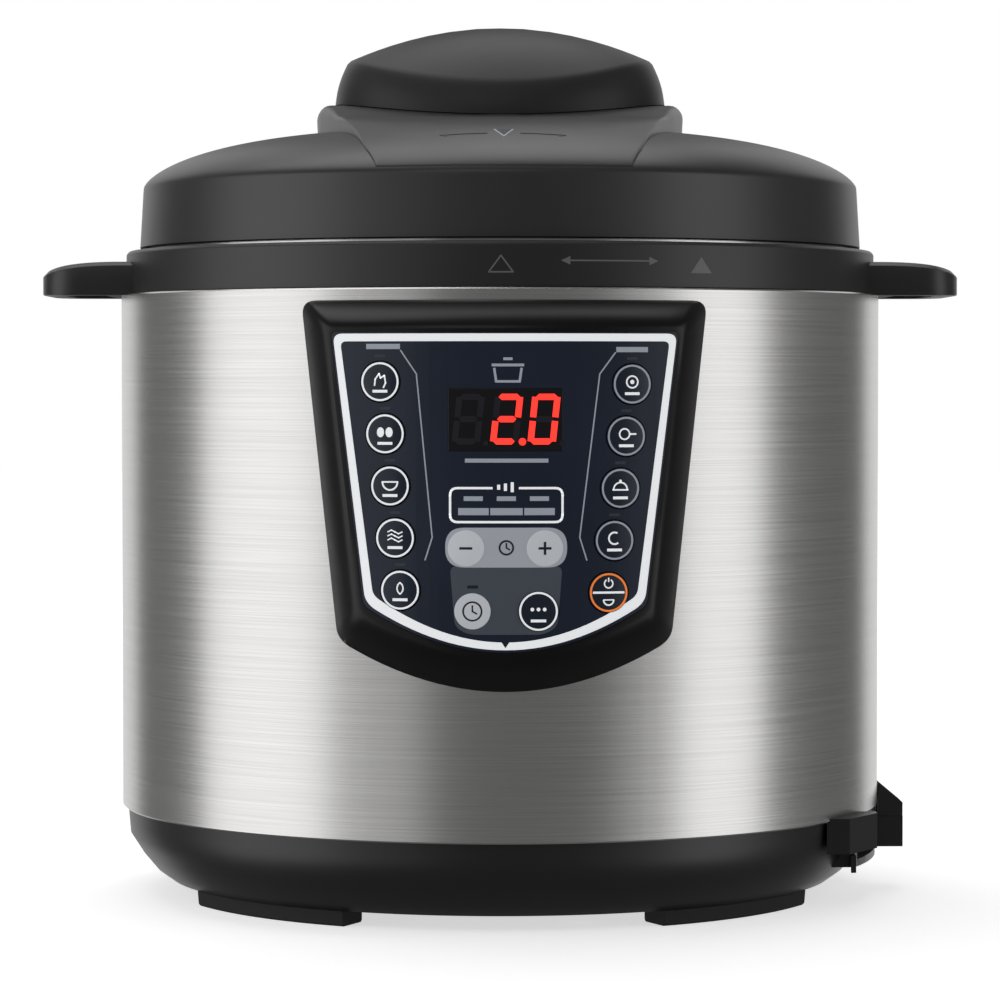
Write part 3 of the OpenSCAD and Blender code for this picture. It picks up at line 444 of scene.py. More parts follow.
def thicken(piece: bpy.types.Object, thickness: float) -> None:
    """Give a sheet its thickness, inwards.

    Args:
        piece: The sheet.
        thickness: Its thickness, in millimetres.
    """
    sheet = piece.modifiers.new("sheet", "SOLIDIFY")
    sheet.thickness = thickness * MM
    sheet.offset = -1.0


def merge(target: bmesh.types.BMesh, other: bmesh.types.BMesh) -> bmesh.types.BMesh:
    """Add one mesh to another.

    Args:
        target: The mesh that grows.
        other: The mesh that is added, and freed.

    Returns:
        The first mesh.
    """
    carrier = bpy.data.meshes.new("carrier")
    other.to_mesh(carrier)
    other.free()
    target.from_mesh(carrier)
    bpy.data.meshes.remove(carrier)
    return target


def node_copy(node: str) -> bmesh.types.BMesh:
    """Copy a CAD node's mesh, with its double points merged and its flat faces whole.

    Args:
        node: The node's name.

    Returns:
        The copy, in millimetres.
    """
    bm = bmesh.new()
    bm.from_mesh(frame["nodes"][node].data)
    bmesh.ops.scale(bm, vec=(1 / MM, 1 / MM, 1 / MM), verts=bm.verts)
    bmesh.ops.remove_doubles(bm, verts=bm.verts, dist=SEAM)
    bmesh.ops.dissolve_limit(bm, angle_limit=math.radians(FLAT_ANGLE), verts=bm.verts, edges=bm.edges)
    return bm


class Sketch:
    """Flat shapes in one plane, x across and y up, that become a thin raised print."""

    def __init__(self) -> None:
        """Start with nothing drawn."""
        self.bm = bmesh.new()

    def bar(self, x: float, y: float, w: float, h: float, turn: float = 0.0) -> "Sketch":
        """Draw a rectangle.

        Args:
            x: Its middle across.
            y: Its middle up.
            w: Its width.
            h: Its height.
            turn: Degrees that it is turned, anticlockwise.

        Returns:
            The sketch.
        """
        place = Matrix.Translation((x, y, 0)) @ Matrix.Rotation(math.radians(turn), 4, "Z")
        bmesh.ops.create_grid(self.bm, x_segments=1, y_segments=1, size=0.5,
                              matrix=place @ Matrix.Diagonal((w, h, 1, 1)))
        return self

    def disc(self, x: float, y: float, r: float, flat: float = 1.0) -> "Sketch":
        """Draw a disc or an oval.

        Args:
            x: Its middle across.
            y: Its middle up.
            r: Its radius across.
            flat: Its height as a share of its width.

        Returns:
            The sketch.
        """
        bmesh.ops.create_circle(self.bm, cap_ends=True, segments=28, radius=r,
                                matrix=Matrix.Translation((x, y, 0)) @ Matrix.Diagonal((1, flat, 1, 1)))
        return self

    def ring(self, x: float, y: float, r: float, w: float, start: float = 0.0, sweep: float = 360.0) -> "Sketch":
        """Draw part of a ring.

        Args:
            x: Its centre across.
            y: Its centre up.
            r: Its middle radius.
            w: Its width.
            start: Where it starts, in degrees from the right, anticlockwise.
            sweep: How far it goes.

        Returns:
            The sketch.
        """
        a = math.radians(start)
        way = Vector((math.cos(a), math.sin(a), 0))
        ends = [self.bm.verts.new(Vector((x, y, 0)) + way * (r + s * w / 2)) for s in (-1, 1)]
        edge = self.bm.edges.new(ends)
        bmesh.ops.spin(self.bm, geom=ends + [edge], cent=(x, y, 0), axis=(0, 0, 1), angle=math.radians(sweep),
                       steps=max(6, round(sweep / 7)), use_merge=sweep >= 360)
        return self

    def shape(self, points: list[Point]) -> "Sketch":
        """Draw a filled outline."""
        self.bm.faces.new([self.bm.verts.new((x, y, 0)) for x, y in points])
        return self

    def stroke(self, points: list[Point], w: float) -> "Sketch":
        """Draw a line of even width.

        Args:
            points: The points that it runs along.
            w: Its width.

        Returns:
            The sketch.
        """
        for (x0, y0), (x1, y1) in zip(points, points[1:]):
            length = math.hypot(x1 - x0, y1 - y0)
            self.bar((x0 + x1) / 2, (y0 + y1) / 2, length + w * 0.7, w, math.degrees(math.atan2(y1 - y0, x1 - x0)))
        return self

    def raised(self, low: float, high: float, step: float = 0.0, rows: float = 0.0) -> bmesh.types.BMesh:
        """Give the drawing its thickness.

        Args:
            low: Height of its back.
            high: Height of its front.
            step: Width of the strips that it is cut into across, so that it can bend; 0 leaves it whole.
            rows: Height of the rows that it is cut into; 0 leaves it whole.

        Returns:
            The mesh, with z as its height.
        """
        bm = self.bm
        bmesh.ops.remove_doubles(bm, verts=bm.verts, dist=WELD)
        for normal, size in ((Vector((1, 0, 0)), step), (Vector((0, 1, 0)), rows)):
            reach = [v.co.dot(normal) for v in bm.verts] if size else []
            for k in range(math.ceil(min(reach) / size), math.floor(max(reach) / size) + 1) if size else ():
                slice_at(bm, normal * (k * size), normal)
        for face in bm.faces:
            if face.normal.z > 0:
                face.normal_flip()
        bottom = list(bm.faces)
        top = bmesh.ops.extrude_face_region(bm, geom=bottom, use_keep_orig=True)["geom"]
        bmesh.ops.translate(bm, vec=(0, 0, high - low), verts=[v for v in top if isinstance(v, bmesh.types.BMVert)])
        bmesh.ops.translate(bm, vec=(0, 0, low), verts=bm.verts)
        bmesh.ops.recalc_face_normals(bm, faces=bm.faces)
        return bm


def bend(bm: bmesh.types.BMesh, radius: float) -> bmesh.types.BMesh:
    """Wrap a flat mesh onto the front of an upright cylinder.

    Args:
        bm: The mesh: x across, y up, z out of the cylinder's surface.
        radius: The cylinder's radius.

    Returns:
        The same mesh, placed.
    """
    for vert in bm.verts:
        across, up, out = vert.co
        vert.co = (across, -math.sqrt((radius + out) ** 2 - across ** 2), up)
    return bm


def refine(node: str, finish: Finish, bevel: float = 0.3, smooth: float = 30.0, segments: int = 2
           ) -> bpy.types.Object:
    """Stand in for a CAD node with a merged copy of it that has rounded edges and a finish.

    Args:
        node: The node's name.
        finish: The finish.
        bevel: Width of the rounding of its edges, in millimetres.
        smooth: Edges that turn less than this angle are smooth.
        segments: Segments of the rounding.

    Returns:
        The piece.
    """
    return finish_piece(node + "_piece", node_copy(node), frame["nodes"][node]["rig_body"], finish, SLOTS[node],
                        replaces=(node,), bevel=bevel, smooth=smooth, segments=segments)


# ---------------------------------------------------------------- body


@dataclass
class Body:
    """The housing's outside: sleeve, collar, side grips, base and feet; sizes are in millimetres.

    Args:
        sleeve_r: Outer radius of the sleeve.
        sleeve_lip: Width of the lips that turn in at its ends.
        sleeve_t: Thickness of its sheet.
        sleeve_bend: Width of the bend into a lip.
        sleeve_z: Heights of its ends.
        cavity: Half width, low and high end of the cut-out behind the panel.
        cavity_rim: Width of the row of faces round it, which keeps the shading of the sheet even.
        collar_profile: Radius and height along the collar's section.
        mark_r: Radius that the collar's marks lie on.
        mark_z: Height of the collar's marks.
        mark_x: Middles of the closed mark and of the open mark.
        arrow_x: Ends of the arrow between them.
        mark_line: Width of their lines.
        mark_up: How far the marks stand out.
        grip_x: Where a side grip starts and ends.
        grip_z: Heights of a side grip's underside and of its top at the collar.
        grip_half: Half a side grip's width.
        grip_round: Reach of the rounding of its corners, outwards and across.
        grip_fall: How far its top falls towards its end.
        grip_curve: How late it falls: 1 for a straight slope, more for a rounded end.
        grip_slope: Width and height of the sloping band round its top.
        grip_pocket: Start, end, half width and ceiling of the hollow in its underside.
    """

    sleeve_r: float = 136.0
    sleeve_lip: float = 2.9
    sleeve_t: float = 0.7
    sleeve_bend: float = 0.5
    sleeve_z: Point = (31.3, 213.6)
    cavity: tuple[float, float, float] = (44.0, 112.0, 196.0)
    cavity_rim: float = 2.0
    collar_profile: tuple[Point, ...] = ((115.3, 213.65), (134.2, 213.65), (134.2, 227.9), (133.1, 229.0),
                                         (127.0, 229.0), (127.0, 215.6), (115.3, 215.6))
    mark_r: float = 134.2
    mark_z: float = 221.2
    mark_x: Point = (-1.3, 65.2)
    arrow_x: Point = (21.0, 48.0)
    mark_line: float = 0.5
    mark_up: float = 0.08
    grip_x: Point = (128.2, 162.6)
    grip_z: Point = (213.1, 224.9)
    grip_half: float = 34.8
    grip_round: Point = (12.0, 16.0)
    grip_fall: float = 3.9
    grip_curve: float = 3.4
    grip_slope: Point = (1.9, 1.35)
    grip_pocket: tuple[float, float, float, float] = (140.0, 159.0, 27.0, 218.1)

    def build(self) -> None:
        """Build every piece of the housing's outside."""
        self.sleeve()
        finish_piece("collar_ring", lathe(list(self.collar_profile), TURNS), "housing", COLLAR_BLACK,
                     "collar_plastic", replaces=("collar",), bevel=0.4)
        self.grip("handle_left", -1)
        self.grip("handle_right", 1)
        refine_all((("base_shell", BASE_BLACK, 0.3), ("feet", FOOT_RUBBER, 0.3), ("bottom_plate", BASE_BLACK, 0.3),
                    ("base_screws", SCREW_STEEL, 0.25)))
        self.marks()

    def sleeve(self) -> None:
        """Spin the sheet with its two lips, cut the space behind the panel and give it its thickness."""
        z0, z1 = self.sleeve_z
        outer, inner, turn = self.sleeve_r, self.sleeve_r - self.sleeve_lip, self.sleeve_bend
        bm = lathe([(inner, z0), (outer - turn, z0), (outer, z0 + turn), (outer, z1 - turn), (outer - turn, z1),
                    (inner, z1)], TURNS, closed=False)
        half, low, high = self.cavity
        rim = self.cavity_rim
        for axis, places in ((0, (-half - rim, -half, half, half + rim)), (2, (low - rim, low, high, high + rim))):
            for place in places:
                point = Vector((0, 0, 0))
                point[axis] = place
                normal = Vector((0, 0, 0))
                normal[axis] = 1
                slice_at(bm, point, normal)
        middles = {face: face.calc_center_median() for face in bm.faces}
        hidden = [f for f, m in middles.items() if m.y < 0 and abs(m.x) < half and low < m.z < high]
        bmesh.ops.delete(bm, geom=hidden, context="FACES")
        piece = finish_piece("sleeve_sheet", bm, "housing", STEEL, "brushed_steel", replaces=("steel_sleeve",))
        thicken(piece, self.sleeve_t)

    def grip_level(self, way: int, span: Point, half: float, inset: float, z: float, falls: bool = False
                   ) -> list[Vector]:
        """One level of a side grip: its outline from the collar round its end and back.

        Args:
            way: Its side: 1 for the right, -1 for the left.
            span: Where the outline starts and ends.
            half: Half its width.
            inset: How far it is moved inwards.
            z: Its height at the collar.
            falls: Whether it falls towards the end as the top does.

        Returns:
            The level's points.
        """
        start, end = span[0], span[1] - inset
        half -= inset
        out, across = (reach - inset for reach in self.grip_round)
        row = [(start + (end - out - start) * k / 10, half) for k in range(10)]
        for k in range(11):
            a = math.radians(9 * k)
            row.append((end - out + out * math.sin(a), half - across + across * math.cos(a)))
        row += [(x, -y) for x, y in reversed(row)]
        root, tip = self.grip_x
        fall = self.grip_fall if falls else 0.0
        return [Vector((way * x, y, z - fall * (max(0.0, x - root) / (tip - root)) ** self.grip_curve))
                for x, y in row]

    def grip(self, node: str, way: int) -> None:
        """Build a side grip: a plate whose top falls outwards, with a sloping band round it and a hollow under it.

        Args:
            node: The node that it stands for.
            way: Its side: 1 for the right, -1 for the left.
        """
        low, top = self.grip_z
        band, drop = self.grip_slope
        hollow_start, hollow_end, hollow_half, ceiling = self.grip_pocket
        hollow = (way, (hollow_start, hollow_end), hollow_half, 4.0)
        rim = (way, self.grip_x, self.grip_half)
        rings = [self.grip_level(*hollow, ceiling), self.grip_level(*hollow, low)]
        for inset, z, falls in ((0.5, low, False), (0.15, low + 0.15, False), (0.0, low + 0.5, False),
                                (0.0, top - drop - 0.3, True), (0.12, top - drop, True), (band, top - 0.12, True),
                                (band + 0.6, top, True)):
            rings.append(self.grip_level(*rim, inset, z, falls))
        bm = stack(rings, low_cap=True)
        last = sorted((v for v in bm.verts if v.is_boundary), key=lambda v: way * v.co.x)
        upper = [v for v in last if v.co.y > 0]
        lower = [v for v in last if v.co.y < 0]
        for corners_of_strip in zip(upper, upper[1:], lower[1:], lower):
            bm.faces.new(corners_of_strip)
        finish_piece(node + "_piece", bm, "housing", COLLAR_BLACK, SLOTS[node], replaces=(node,), smooth=28)

    def marks(self) -> None:
        """Print the closed mark, the arrow between and the open mark on the collar's front."""
        (closed, opened), (left, right), z = self.mark_x, self.arrow_x, self.mark_z
        low, peak, level = z - 2.6, z + 2.8, z + 1.2
        ink = Sketch()
        ink.stroke([(closed - 4, low), (closed, peak), (closed + 4, low), (closed - 4, low)], self.mark_line)
        ink.stroke([(left, level), (right, level)], self.mark_line)
        for x, way in ((left, -1), (right, 1)):
            ink.shape([(x + way * 2.6, level), (x - way * 0.4, z + 2.6), (x - way * 0.4, z - 0.2)][::way])
        ink.shape([(opened - 3.6, low), (opened + 3.6, low), (opened, peak)])
        finish_piece("collar_marks", bend(ink.raised(0.0, self.mark_up, 2.5), self.mark_r), "housing", INK_FAINT,
                     "collar_plastic")


# ---------------------------------------------------------------- panel


@dataclass(frozen=True)
class Line:
    """An outline of the panel: a straight top and sides, and a bottom that sweeps down in the middle.

    Args:
        top_half: Half width at the top.
        low_half: Half width at the low corners.
        top: Height of the top edge.
        corner: Height of the low corners.
        middle: Height of the bottom's middle.
    """

    top_half: float
    low_half: float
    top: float
    corner: float
    middle: float

    def inset(self, top: float, side: float, low: float) -> "Line":
        """The same outline with its top, sides and bottom moved inwards."""
        return Line(self.top_half - side, self.low_half - side, self.top - top, self.corner + low, self.middle + low)

    def mix(self, other: "Line", share: float) -> "Line":
        """Blend two outlines.

        Args:
            other: The other outline.
            share: How far the blend lies towards it, from 0 to 1.

        Returns:
            The blend.
        """
        return Line(*(a + (b - a) * share for a, b in zip(astuple(self), astuple(other))))

    def points(self, top_round: float, low_round: float, across: int = 28) -> list[Point]:
        """The outline's points, from the low right corner round by the top.

        Args:
            top_round: How far the rounding of the top corners reaches.
            low_round: How far the rounding of the low corners reaches.
            across: Segments across the top and across the bottom.

        Returns:
            Points of x and z; the same number for every outline.
        """
        lean = (self.top_half - self.low_half) / (self.top - self.corner)
        side = []
        for t in range(7):
            z = self.corner + low_round + (self.top - top_round - self.corner - low_round) * t / 6
            side.append((self.low_half + lean * (z - self.corner), z))
        arc = [(self.top_half - top_round * t * t / 36 - lean * top_round * (1 - t / 6) ** 2,
                self.top - top_round * (1 - t / 6) ** 2) for t in range(1, 7)]
        right = side + arc
        top = [((self.top_half - top_round) * (1 - 2 * t / across), self.top) for t in range(1, across)]
        left = [(-x, z) for x, z in reversed(right)]
        reach = self.low_half - low_round

        def sweep(x: float) -> float:
            """Height of the bottom edge."""
            return self.middle + (self.corner - self.middle) * (x / self.low_half) ** 2

        corner = []
        for t in range(1, 6):
            s = t / 6
            corner.append(((self.low_half + lean * low_round) * (1 - s) ** 2 + self.low_half * 2 * s * (1 - s)
                           + reach * s * s, (self.corner + low_round) * (1 - s) ** 2
                           + self.corner * 2 * s * (1 - s) + sweep(reach) * s * s))
        low = [(-reach + 2 * reach * t / across, sweep(-reach + 2 * reach * t / across)) for t in range(across + 1)]
        return right + top + left + [(-x, z) for x, z in corner] + low + corner[::-1]


def rectangle(left: float, right: float, low: float, high: float) -> list[Point]:
    """A rectangle's corners, from the low left one anticlockwise."""
    return [(left, low), (right, low), (right, high), (left, high)]


def around(line: Line, radius: float, top_round: float, low_round: float) -> list[Vector]:
    """A panel outline laid on an upright cylinder of some radius."""
    return [Vector((x, -math.sqrt(radius ** 2 - x ** 2), z)) for x, z in line.points(top_round, low_round)]


FOOT = Line(67.0, 55.0, 209.5, 98.0, 81.5)
FILM = Line(56.8, 46.2, 198.9, 110.0, 95.0)
CREST = Line(58.0, 47.6, 199.9, 108.8, 94.0)
FILM_R = 147.8  # radius of the film's front
KEY_R = 148.1  # radius of a key's front
KEY_AXIS_R = 148.0  # radius at which a key's middle is measured
PRINT_UP = 0.07  # how far a print stands out
STRIP = 3.0  # width of the strips that let a print follow the curve
SEGMENTS = {  # a digit's segments: middle, width and height
    "a": (0.9, 7.2, 7.0, 2.0), "b": (4.0, 3.9, 2.0, 6.6), "c": (3.2, -3.9, 2.0, 6.6), "d": (-0.9, -7.2, 7.0, 2.0),
    "e": (-4.0, -3.9, 2.0, 6.6), "f": (-3.2, 3.9, 2.0, 6.6), "g": (0.0, 0.0, 6.2, 2.0),
}


@dataclass
class Panel:
    """The control panel: bezel, printed film, window, digits and prints.

    Args:
        body_r: Radius of the sleeve under the bezel.
        crest_r: Radius of the bezel's crest.
        edge: Height of the bezel's upright edge on the sleeve.
        belly: How strongly the bezel's slope bulges.
        wall_r: Radius of the inner side of the bezel's front wall.
        border_w: Width of the white border.
        digit_z: Height of the digits' middles.
        digit_lean: Degrees that their upright segments lean.
        shown: Place of each digit, and the segments that are lit.
        level: Left, right, low and high side of the box under the window.
        level_gap: Ends of the gap in the middle of its top.
        pill: Left, right, low and high side of the field behind the minus and plus keys.
        plate: Corners of the field below it.
    """

    body_r: float = 136.0
    crest_r: float = 147.95
    edge: float = 1.6
    belly: float = 1.5
    wall_r: float = 144.0
    border_w: float = 2.5
    digit_z: float = 170.7
    digit_lean: float = -6.0
    shown: tuple[tuple[float, str], ...] = ((-12.0, ""), (0.4, "abged"), (12.5, "abcdef"))
    level: tuple[float, float, float, float] = (-17.9, 18.5, 137.4, 148.4)
    level_gap: Point = (-4.4, 4.6)
    pill: tuple[float, float, float, float] = (-19.5, 20.0, 122.7, 135.6)
    plate: tuple[Point, ...] = ((-18.0, 123.2), (-16.4, 103.4), (-12.0, 100.9), (12.4, 100.9), (16.9, 103.4),
                                (18.5, 123.2))

    def build(self) -> None:
        """Build every piece of the panel that stays still."""
        self.bezel()
        refine_all((("panel_overlay", FILM_NAVY, 0.0), ("display_window", WINDOW_DARK, 0.25),
                    ("display_module", BEZEL_BLACK, 0.2), ("control_board", SOLDER_MASK, 0.15),
                    ("key_switches", PHENOLIC, 0.2)))
        self.border()
        self.digits()
        self.level_box()
        self.cluster()
        self.dividers()

    def bezel(self) -> None:
        """Loft the sloping frame, and add the wall behind the film."""
        foot_r, edge_r = self.body_r - 0.1, self.body_r + self.edge
        rings = [around(FOOT, foot_r, 5.0, 4.0), around(FOOT, edge_r, 5.0, 4.0)]
        for k in range(1, 9):
            t = k / 8
            radius = edge_r + (self.crest_r - edge_r) * (1 - (1 - t) ** self.belly)
            rings.append(around(FOOT.mix(CREST, t), radius, 5.0 - 2.4 * t, 4.0 - 1.4 * t))
        mouth = FILM.inset(-0.1, -0.1, -0.1)
        rings += [around(mouth, self.crest_r, 2.4, 2.4), around(mouth, self.wall_r, 2.4, 2.4),
                  around(FOOT.inset(2.6, 2.6, 2.6), foot_r, 4.0, 4.0)]
        bm = stack(rings, loop=True)
        wall = node_copy("panel_overlay")
        for vert in wall.verts:
            r = math.hypot(vert.co.x, vert.co.y)
            target = self.wall_r if r < FILM_R - 0.3 else FILM_R - 0.65
            vert.co.x *= target / r
            vert.co.y *= target / r
        merge(bm, wall)
        finish_piece("bezel_frame", bm, "housing", BEZEL_BLACK, "bezel_plastic", replaces=("panel_bezel",),
                     smooth=40, bevel=0.25)

    def print_on(self, name: str, art: Sketch, ink: Finish, slot: str = "overlay_film", out: float = PRINT_UP,
                 base: float = 0.0) -> None:
        """Print a drawing on the film.

        Args:
            name: The piece's name.
            art: The drawing.
            ink: The ink.
            slot: The material slot.
            out: How far the ink stands out.
            base: Height that it starts from.
        """
        finish_piece(name, bend(art.raised(base, base + out, STRIP), FILM_R), "housing", ink, slot)

    def border(self) -> None:
        """Print the border along the film's edge, with a small notch at the bottom."""
        outer = FILM.inset(0.5, 0.7, 0.9)
        inner = outer.inset(self.border_w, self.border_w, self.border_w)
        art = Sketch()
        rims = [[art.bm.verts.new((x, z, 0)) for x, z in line.points(size, size)]
                for line, size in ((outer, 3.2), (inner, 2.0))]
        count = len(rims[0])
        for k in range(count):
            n = (k + 1) % count
            art.bm.faces.new((rims[0][k], rims[0][n], rims[1][n], rims[1][k]))
        self.print_on("panel_border", art, INK_WHITE)
        low = outer.middle
        notch = Sketch().shape([(-1.3, low + self.border_w + 0.1), (1.3, low + self.border_w + 0.1), (0.0, low + 0.7)])
        self.print_on("border_notch", notch, FILM_NAVY, out=0.1)

    def digits(self) -> None:
        """Light a number in the window, over its unlit segments."""
        ghost, lit = Sketch(), Sketch()
        for x, shown in self.shown:
            for name, (cx, cz, w, h) in SEGMENTS.items():
                target = lit if name in shown else ghost
                z = self.digit_z + cz
                if h > w:
                    target.bar(x + cx, z, w, h, self.digit_lean)
                    continue
                left, right, half = x + cx - w / 2, x + cx + w / 2, h / 2
                target.shape([(left, z), (left + half, z - half), (right - half, z - half), (right, z),
                              (right - half, z + half), (left + half, z + half)])
        for x in (-6.4, 18.2):
            ghost.disc(x, 162.9, 0.8)
        lit.disc(5.5, 163.4, 1.2)
        self.print_on("ghost_segments", ghost, INK_GHOST, "window_plastic", 0.05, 0.1)
        self.print_on("lit_digits", lit, DIGIT_RED, "window_plastic", 0.06, 0.1)

    def level_box(self) -> None:
        """Print the box with three bars, the small sign on top and the line of dashes under the window."""
        box = Sketch()
        high = self.level[3]
        line = soften(rectangle(*self.level), 2.4)
        split = max(range(len(line)), key=lambda k: math.dist(line[k], line[k - 1]) if line[k][1] > high - 0.2 else 0)
        start, end = self.level_gap
        box.stroke([(start, high)] + line[split:] + line[:split] + [(end, high)], 0.75)
        for k in range(3):
            box.bar(-2.2 + 2.2 * k, high + 0.3, 1.0, 1.6 + 0.8 * k)
        self.print_on("level_frame", box, INK_WHITE)
        bars = Sketch()
        for x0, x1 in ((-15.3, -5.4), (-4.9, 5.6), (6.1, 16.0)):
            bars.bar((x0 + x1) / 2, 140.8, x1 - x0, 2.3)
        for x in (-10.4, 0.3, 11.0):
            bars.bar(x, 145.0, 6.2, 1.5)
        self.print_on("level_bars", bars, INK_PALE)
        captions = Sketch().bar(0.4, 157.3, 27.0, 1.3)
        captions.bar(-39.6, 194.2, 11.0, 1.7).bar(41.2, 193.2, 10.4, 1.7)
        self.print_on("captions", captions, INK_PALE)
        sign = Sketch().bar(0.8, 188.2, 10.5, 0.9).bar(0.8, 190.2, 3.0, 0.9)
        sign.stroke([(-3.6, 187.0), (-3.0, 182.9), (4.6, 182.9), (5.2, 187.0)], 0.8)
        self.print_on("pot_sign", sign, INK_PALE)

    def cluster(self) -> None:
        """Print the pill behind the minus and plus keys and the pale field below it."""
        pill = Sketch().shape(soften(rectangle(*self.pill), 6.4, 8))
        plate = Sketch().shape(soften(list(self.plate), 2.6, 6))
        self.print_on("cluster_field", plate, INK_CLUSTER, out=0.05)
        self.print_on("cluster_pill", pill, INK_SILVER)
        signs = Sketch().ring(0.3, 129.1, 2.2, 0.6).stroke([(0.3, 130.5), (0.3, 129.1), (1.3, 128.5)], 0.5)
        self.print_on("clock_sign", signs, INK_DARK, out=0.05, base=PRINT_UP)
        dash = Sketch().bar(-10.6, 116.4, 3.5, 1.0)
        self.print_on("timer_dash", dash, INK_DARK, out=0.05, base=0.05)

    def dividers(self) -> None:
        """Print the lines between the middle and the two columns of keys."""
        art = Sketch()
        art.stroke([(-33.9, 192.9), (-28.8, 185.3), (-23.7, 132.4), (-26.0, 125.1)], 0.45)
        art.stroke([(35.7, 192.2), (30.6, 185.3), (24.1, 132.4), (26.4, 125.0)], 0.45)
        self.print_on("dividers", art, INK_PALE)


# ---------------------------------------------------------------- keys


class Sign(Enum):
    """The generic drawings on the keys."""

    FLAME = "flame"
    DROP = "drop"
    BOWL = "bowl"
    WAVES = "waves"
    LEAF = "leaf"
    RING = "ring"
    PAN = "pan"
    LID = "lid"
    MOON = "moon"
    POWER = "power"
    MINUS = "minus"
    PLUS = "plus"
    CLOCK = "clock"
    DOTS = "dots"


@dataclass
class Key:
    """One key of the keypad.

    Args:
        name: The CAD node, which is also the body that it rides on.
        x: Its middle across the panel.
        z: Its height.
        r: Its radius.
        sign: The drawing on it.
        finish: The key's finish.
        ink: The drawing's ink.
        ring: The ink of its ring, or None.
        switch_y: How far in front of the axis the switches' tops lie.
        plunger_r: Radius of the plunger behind the cap.
        flange: Radii of the back and the front of the flange that holds the cap in.
        flange_w: Width of that flange.
    """

    name: str
    x: float
    z: float
    r: float
    sign: Sign
    finish: Finish
    ink: Finish
    ring: Finish | None = None
    switch_y: float = 131.8
    plunger_r: float = 2.0
    flange: Point = (142.4, 143.4)
    flange_w: float = 1.2

    def turn(self) -> float:
        """How far the key's axis is turned from straight ahead, in radians."""
        return math.asin(self.x / KEY_AXIS_R)

    def place(self) -> Matrix:
        """Find where the key's own x across, y up and z out of the axis lie in the row frame.

        Returns:
            The key's place.
        """
        a = self.turn()
        out = Vector((math.sin(a), -math.cos(a), 0))
        across = Vector((math.cos(a), math.sin(a), 0))
        return Matrix.Translation((0, 0, self.z)) @ Matrix((across, (0, 0, 1), out)).transposed().to_4x4()

    def piece(self, name: str, bm: bmesh.types.BMesh, finish: Finish, **more: object) -> bpy.types.Object:
        """Put a mesh in the key's place and finish it."""
        bmesh.ops.transform(bm, matrix=self.place(), verts=bm.verts)
        return finish_piece(name, bm, self.name, finish, SLOTS[self.name], **more)

    def build(self) -> None:
        """Build the cap with its flange and plunger, its ring and its drawing."""
        plunger = self.switch_y / math.cos(self.turn())
        wide, (back, front) = self.r + self.flange_w, self.flange
        cap = lathe([(0, plunger), (self.plunger_r, plunger), (self.plunger_r, back), (wide, back), (wide, front),
                     (self.r, front), (self.r, KEY_R - 0.35), (self.r - 0.12, KEY_R - 0.1), (self.r - 0.4, KEY_R),
                     (0, KEY_R)], 64, closed=False)
        self.piece(self.name + "_cap", cap, self.finish, replaces=(self.name,))
        if self.ring:
            ring = Sketch().ring(0, 0, self.r - 0.62, 0.62)
            self.piece(self.name + "_ring", ring.raised(KEY_R - 0.02, KEY_R + PRINT_UP), self.ring)
        art = Sketch()
        self.draw(art)
        self.piece(self.name + "_sign", art.raised(KEY_R - 0.02, KEY_R + 0.06), self.ink)

    def draw(self, art: Sketch) -> None:
        """Draw the key's sign in the middle of its cap.

        Args:
            art: The sketch to draw on.
        """
        match self.sign:
            case Sign.FLAME:
                art.stroke([(-1.8, -1.2), (-1.6, 0.8), (-0.3, 2.6), (0.2, 1.2), (1.5, 2.0), (1.9, -0.4),
                            (1.2, -1.9)], 0.5)
            case Sign.DROP:
                for x in (-1.5, 1.4):
                    art.disc(x, 0.5, 1.2, 1.35)
            case Sign.BOWL:
                art.ring(0, 1.2, 2.5, 0.55, 180, 180).bar(0, 1.3, 5.6, 0.5)
            case Sign.WAVES:
                for y in (-0.6, 0.7, 2.0):
                    art.stroke([(-2.4, y), (-1.2, y + 0.6), (0, y), (1.2, y - 0.6), (2.4, y)], 0.4)
            case Sign.LEAF:
                art.ring(-1.2, 0.6, 2.2, 0.45, -60, 120).ring(1.2, 0.6, 2.2, 0.45, 120, 120)
            case Sign.RING:
                art.ring(0, 0.7, 1.9, 0.5).disc(0, 0.7, 0.7)
            case Sign.PAN:
                art.ring(-0.6, 0.7, 1.7, 0.5).bar(2.3, 0.7, 2.2, 0.55)
            case Sign.LID:
                art.ring(0, -0.4, 2.3, 0.5, 0, 180).bar(0, -0.5, 5.4, 0.5).disc(0, 2.4, 0.45)
            case Sign.MOON:
                art.ring(0, 0.7, 1.9, 0.55, 60, 250)
            case Sign.POWER:
                art.bar(0, 0, 2 * self.r - 2.6, 0.7).ring(0, 2.9, 1.4, 0.45, 120, 300).bar(0, 4.1, 0.45, 1.4)
                art.ring(0, -2.4, 1.7, 0.5, 180, 180).bar(0, -2.4, 3.6, 0.4)
            case Sign.MINUS:
                art.bar(0, 0, 4.2, 0.8)
            case Sign.PLUS:
                art.bar(0, 0, 4.2, 0.8).bar(0, 1.25, 0.8, 1.7).bar(0, -1.25, 0.8, 1.7)
            case Sign.CLOCK:
                art.ring(0, 0, 3.0, 0.55).stroke([(0, 1.8), (0, 0), (1.4, -0.8)], 0.5)
            case Sign.DOTS:
                for x in (-2.0, 0.0, 2.0):
                    art.disc(x, 0.6, 0.6)
        if self.sign not in (Sign.POWER, Sign.MINUS, Sign.PLUS, Sign.CLOCK):
            art.bar(0, -3.1, 5.0, 0.9)


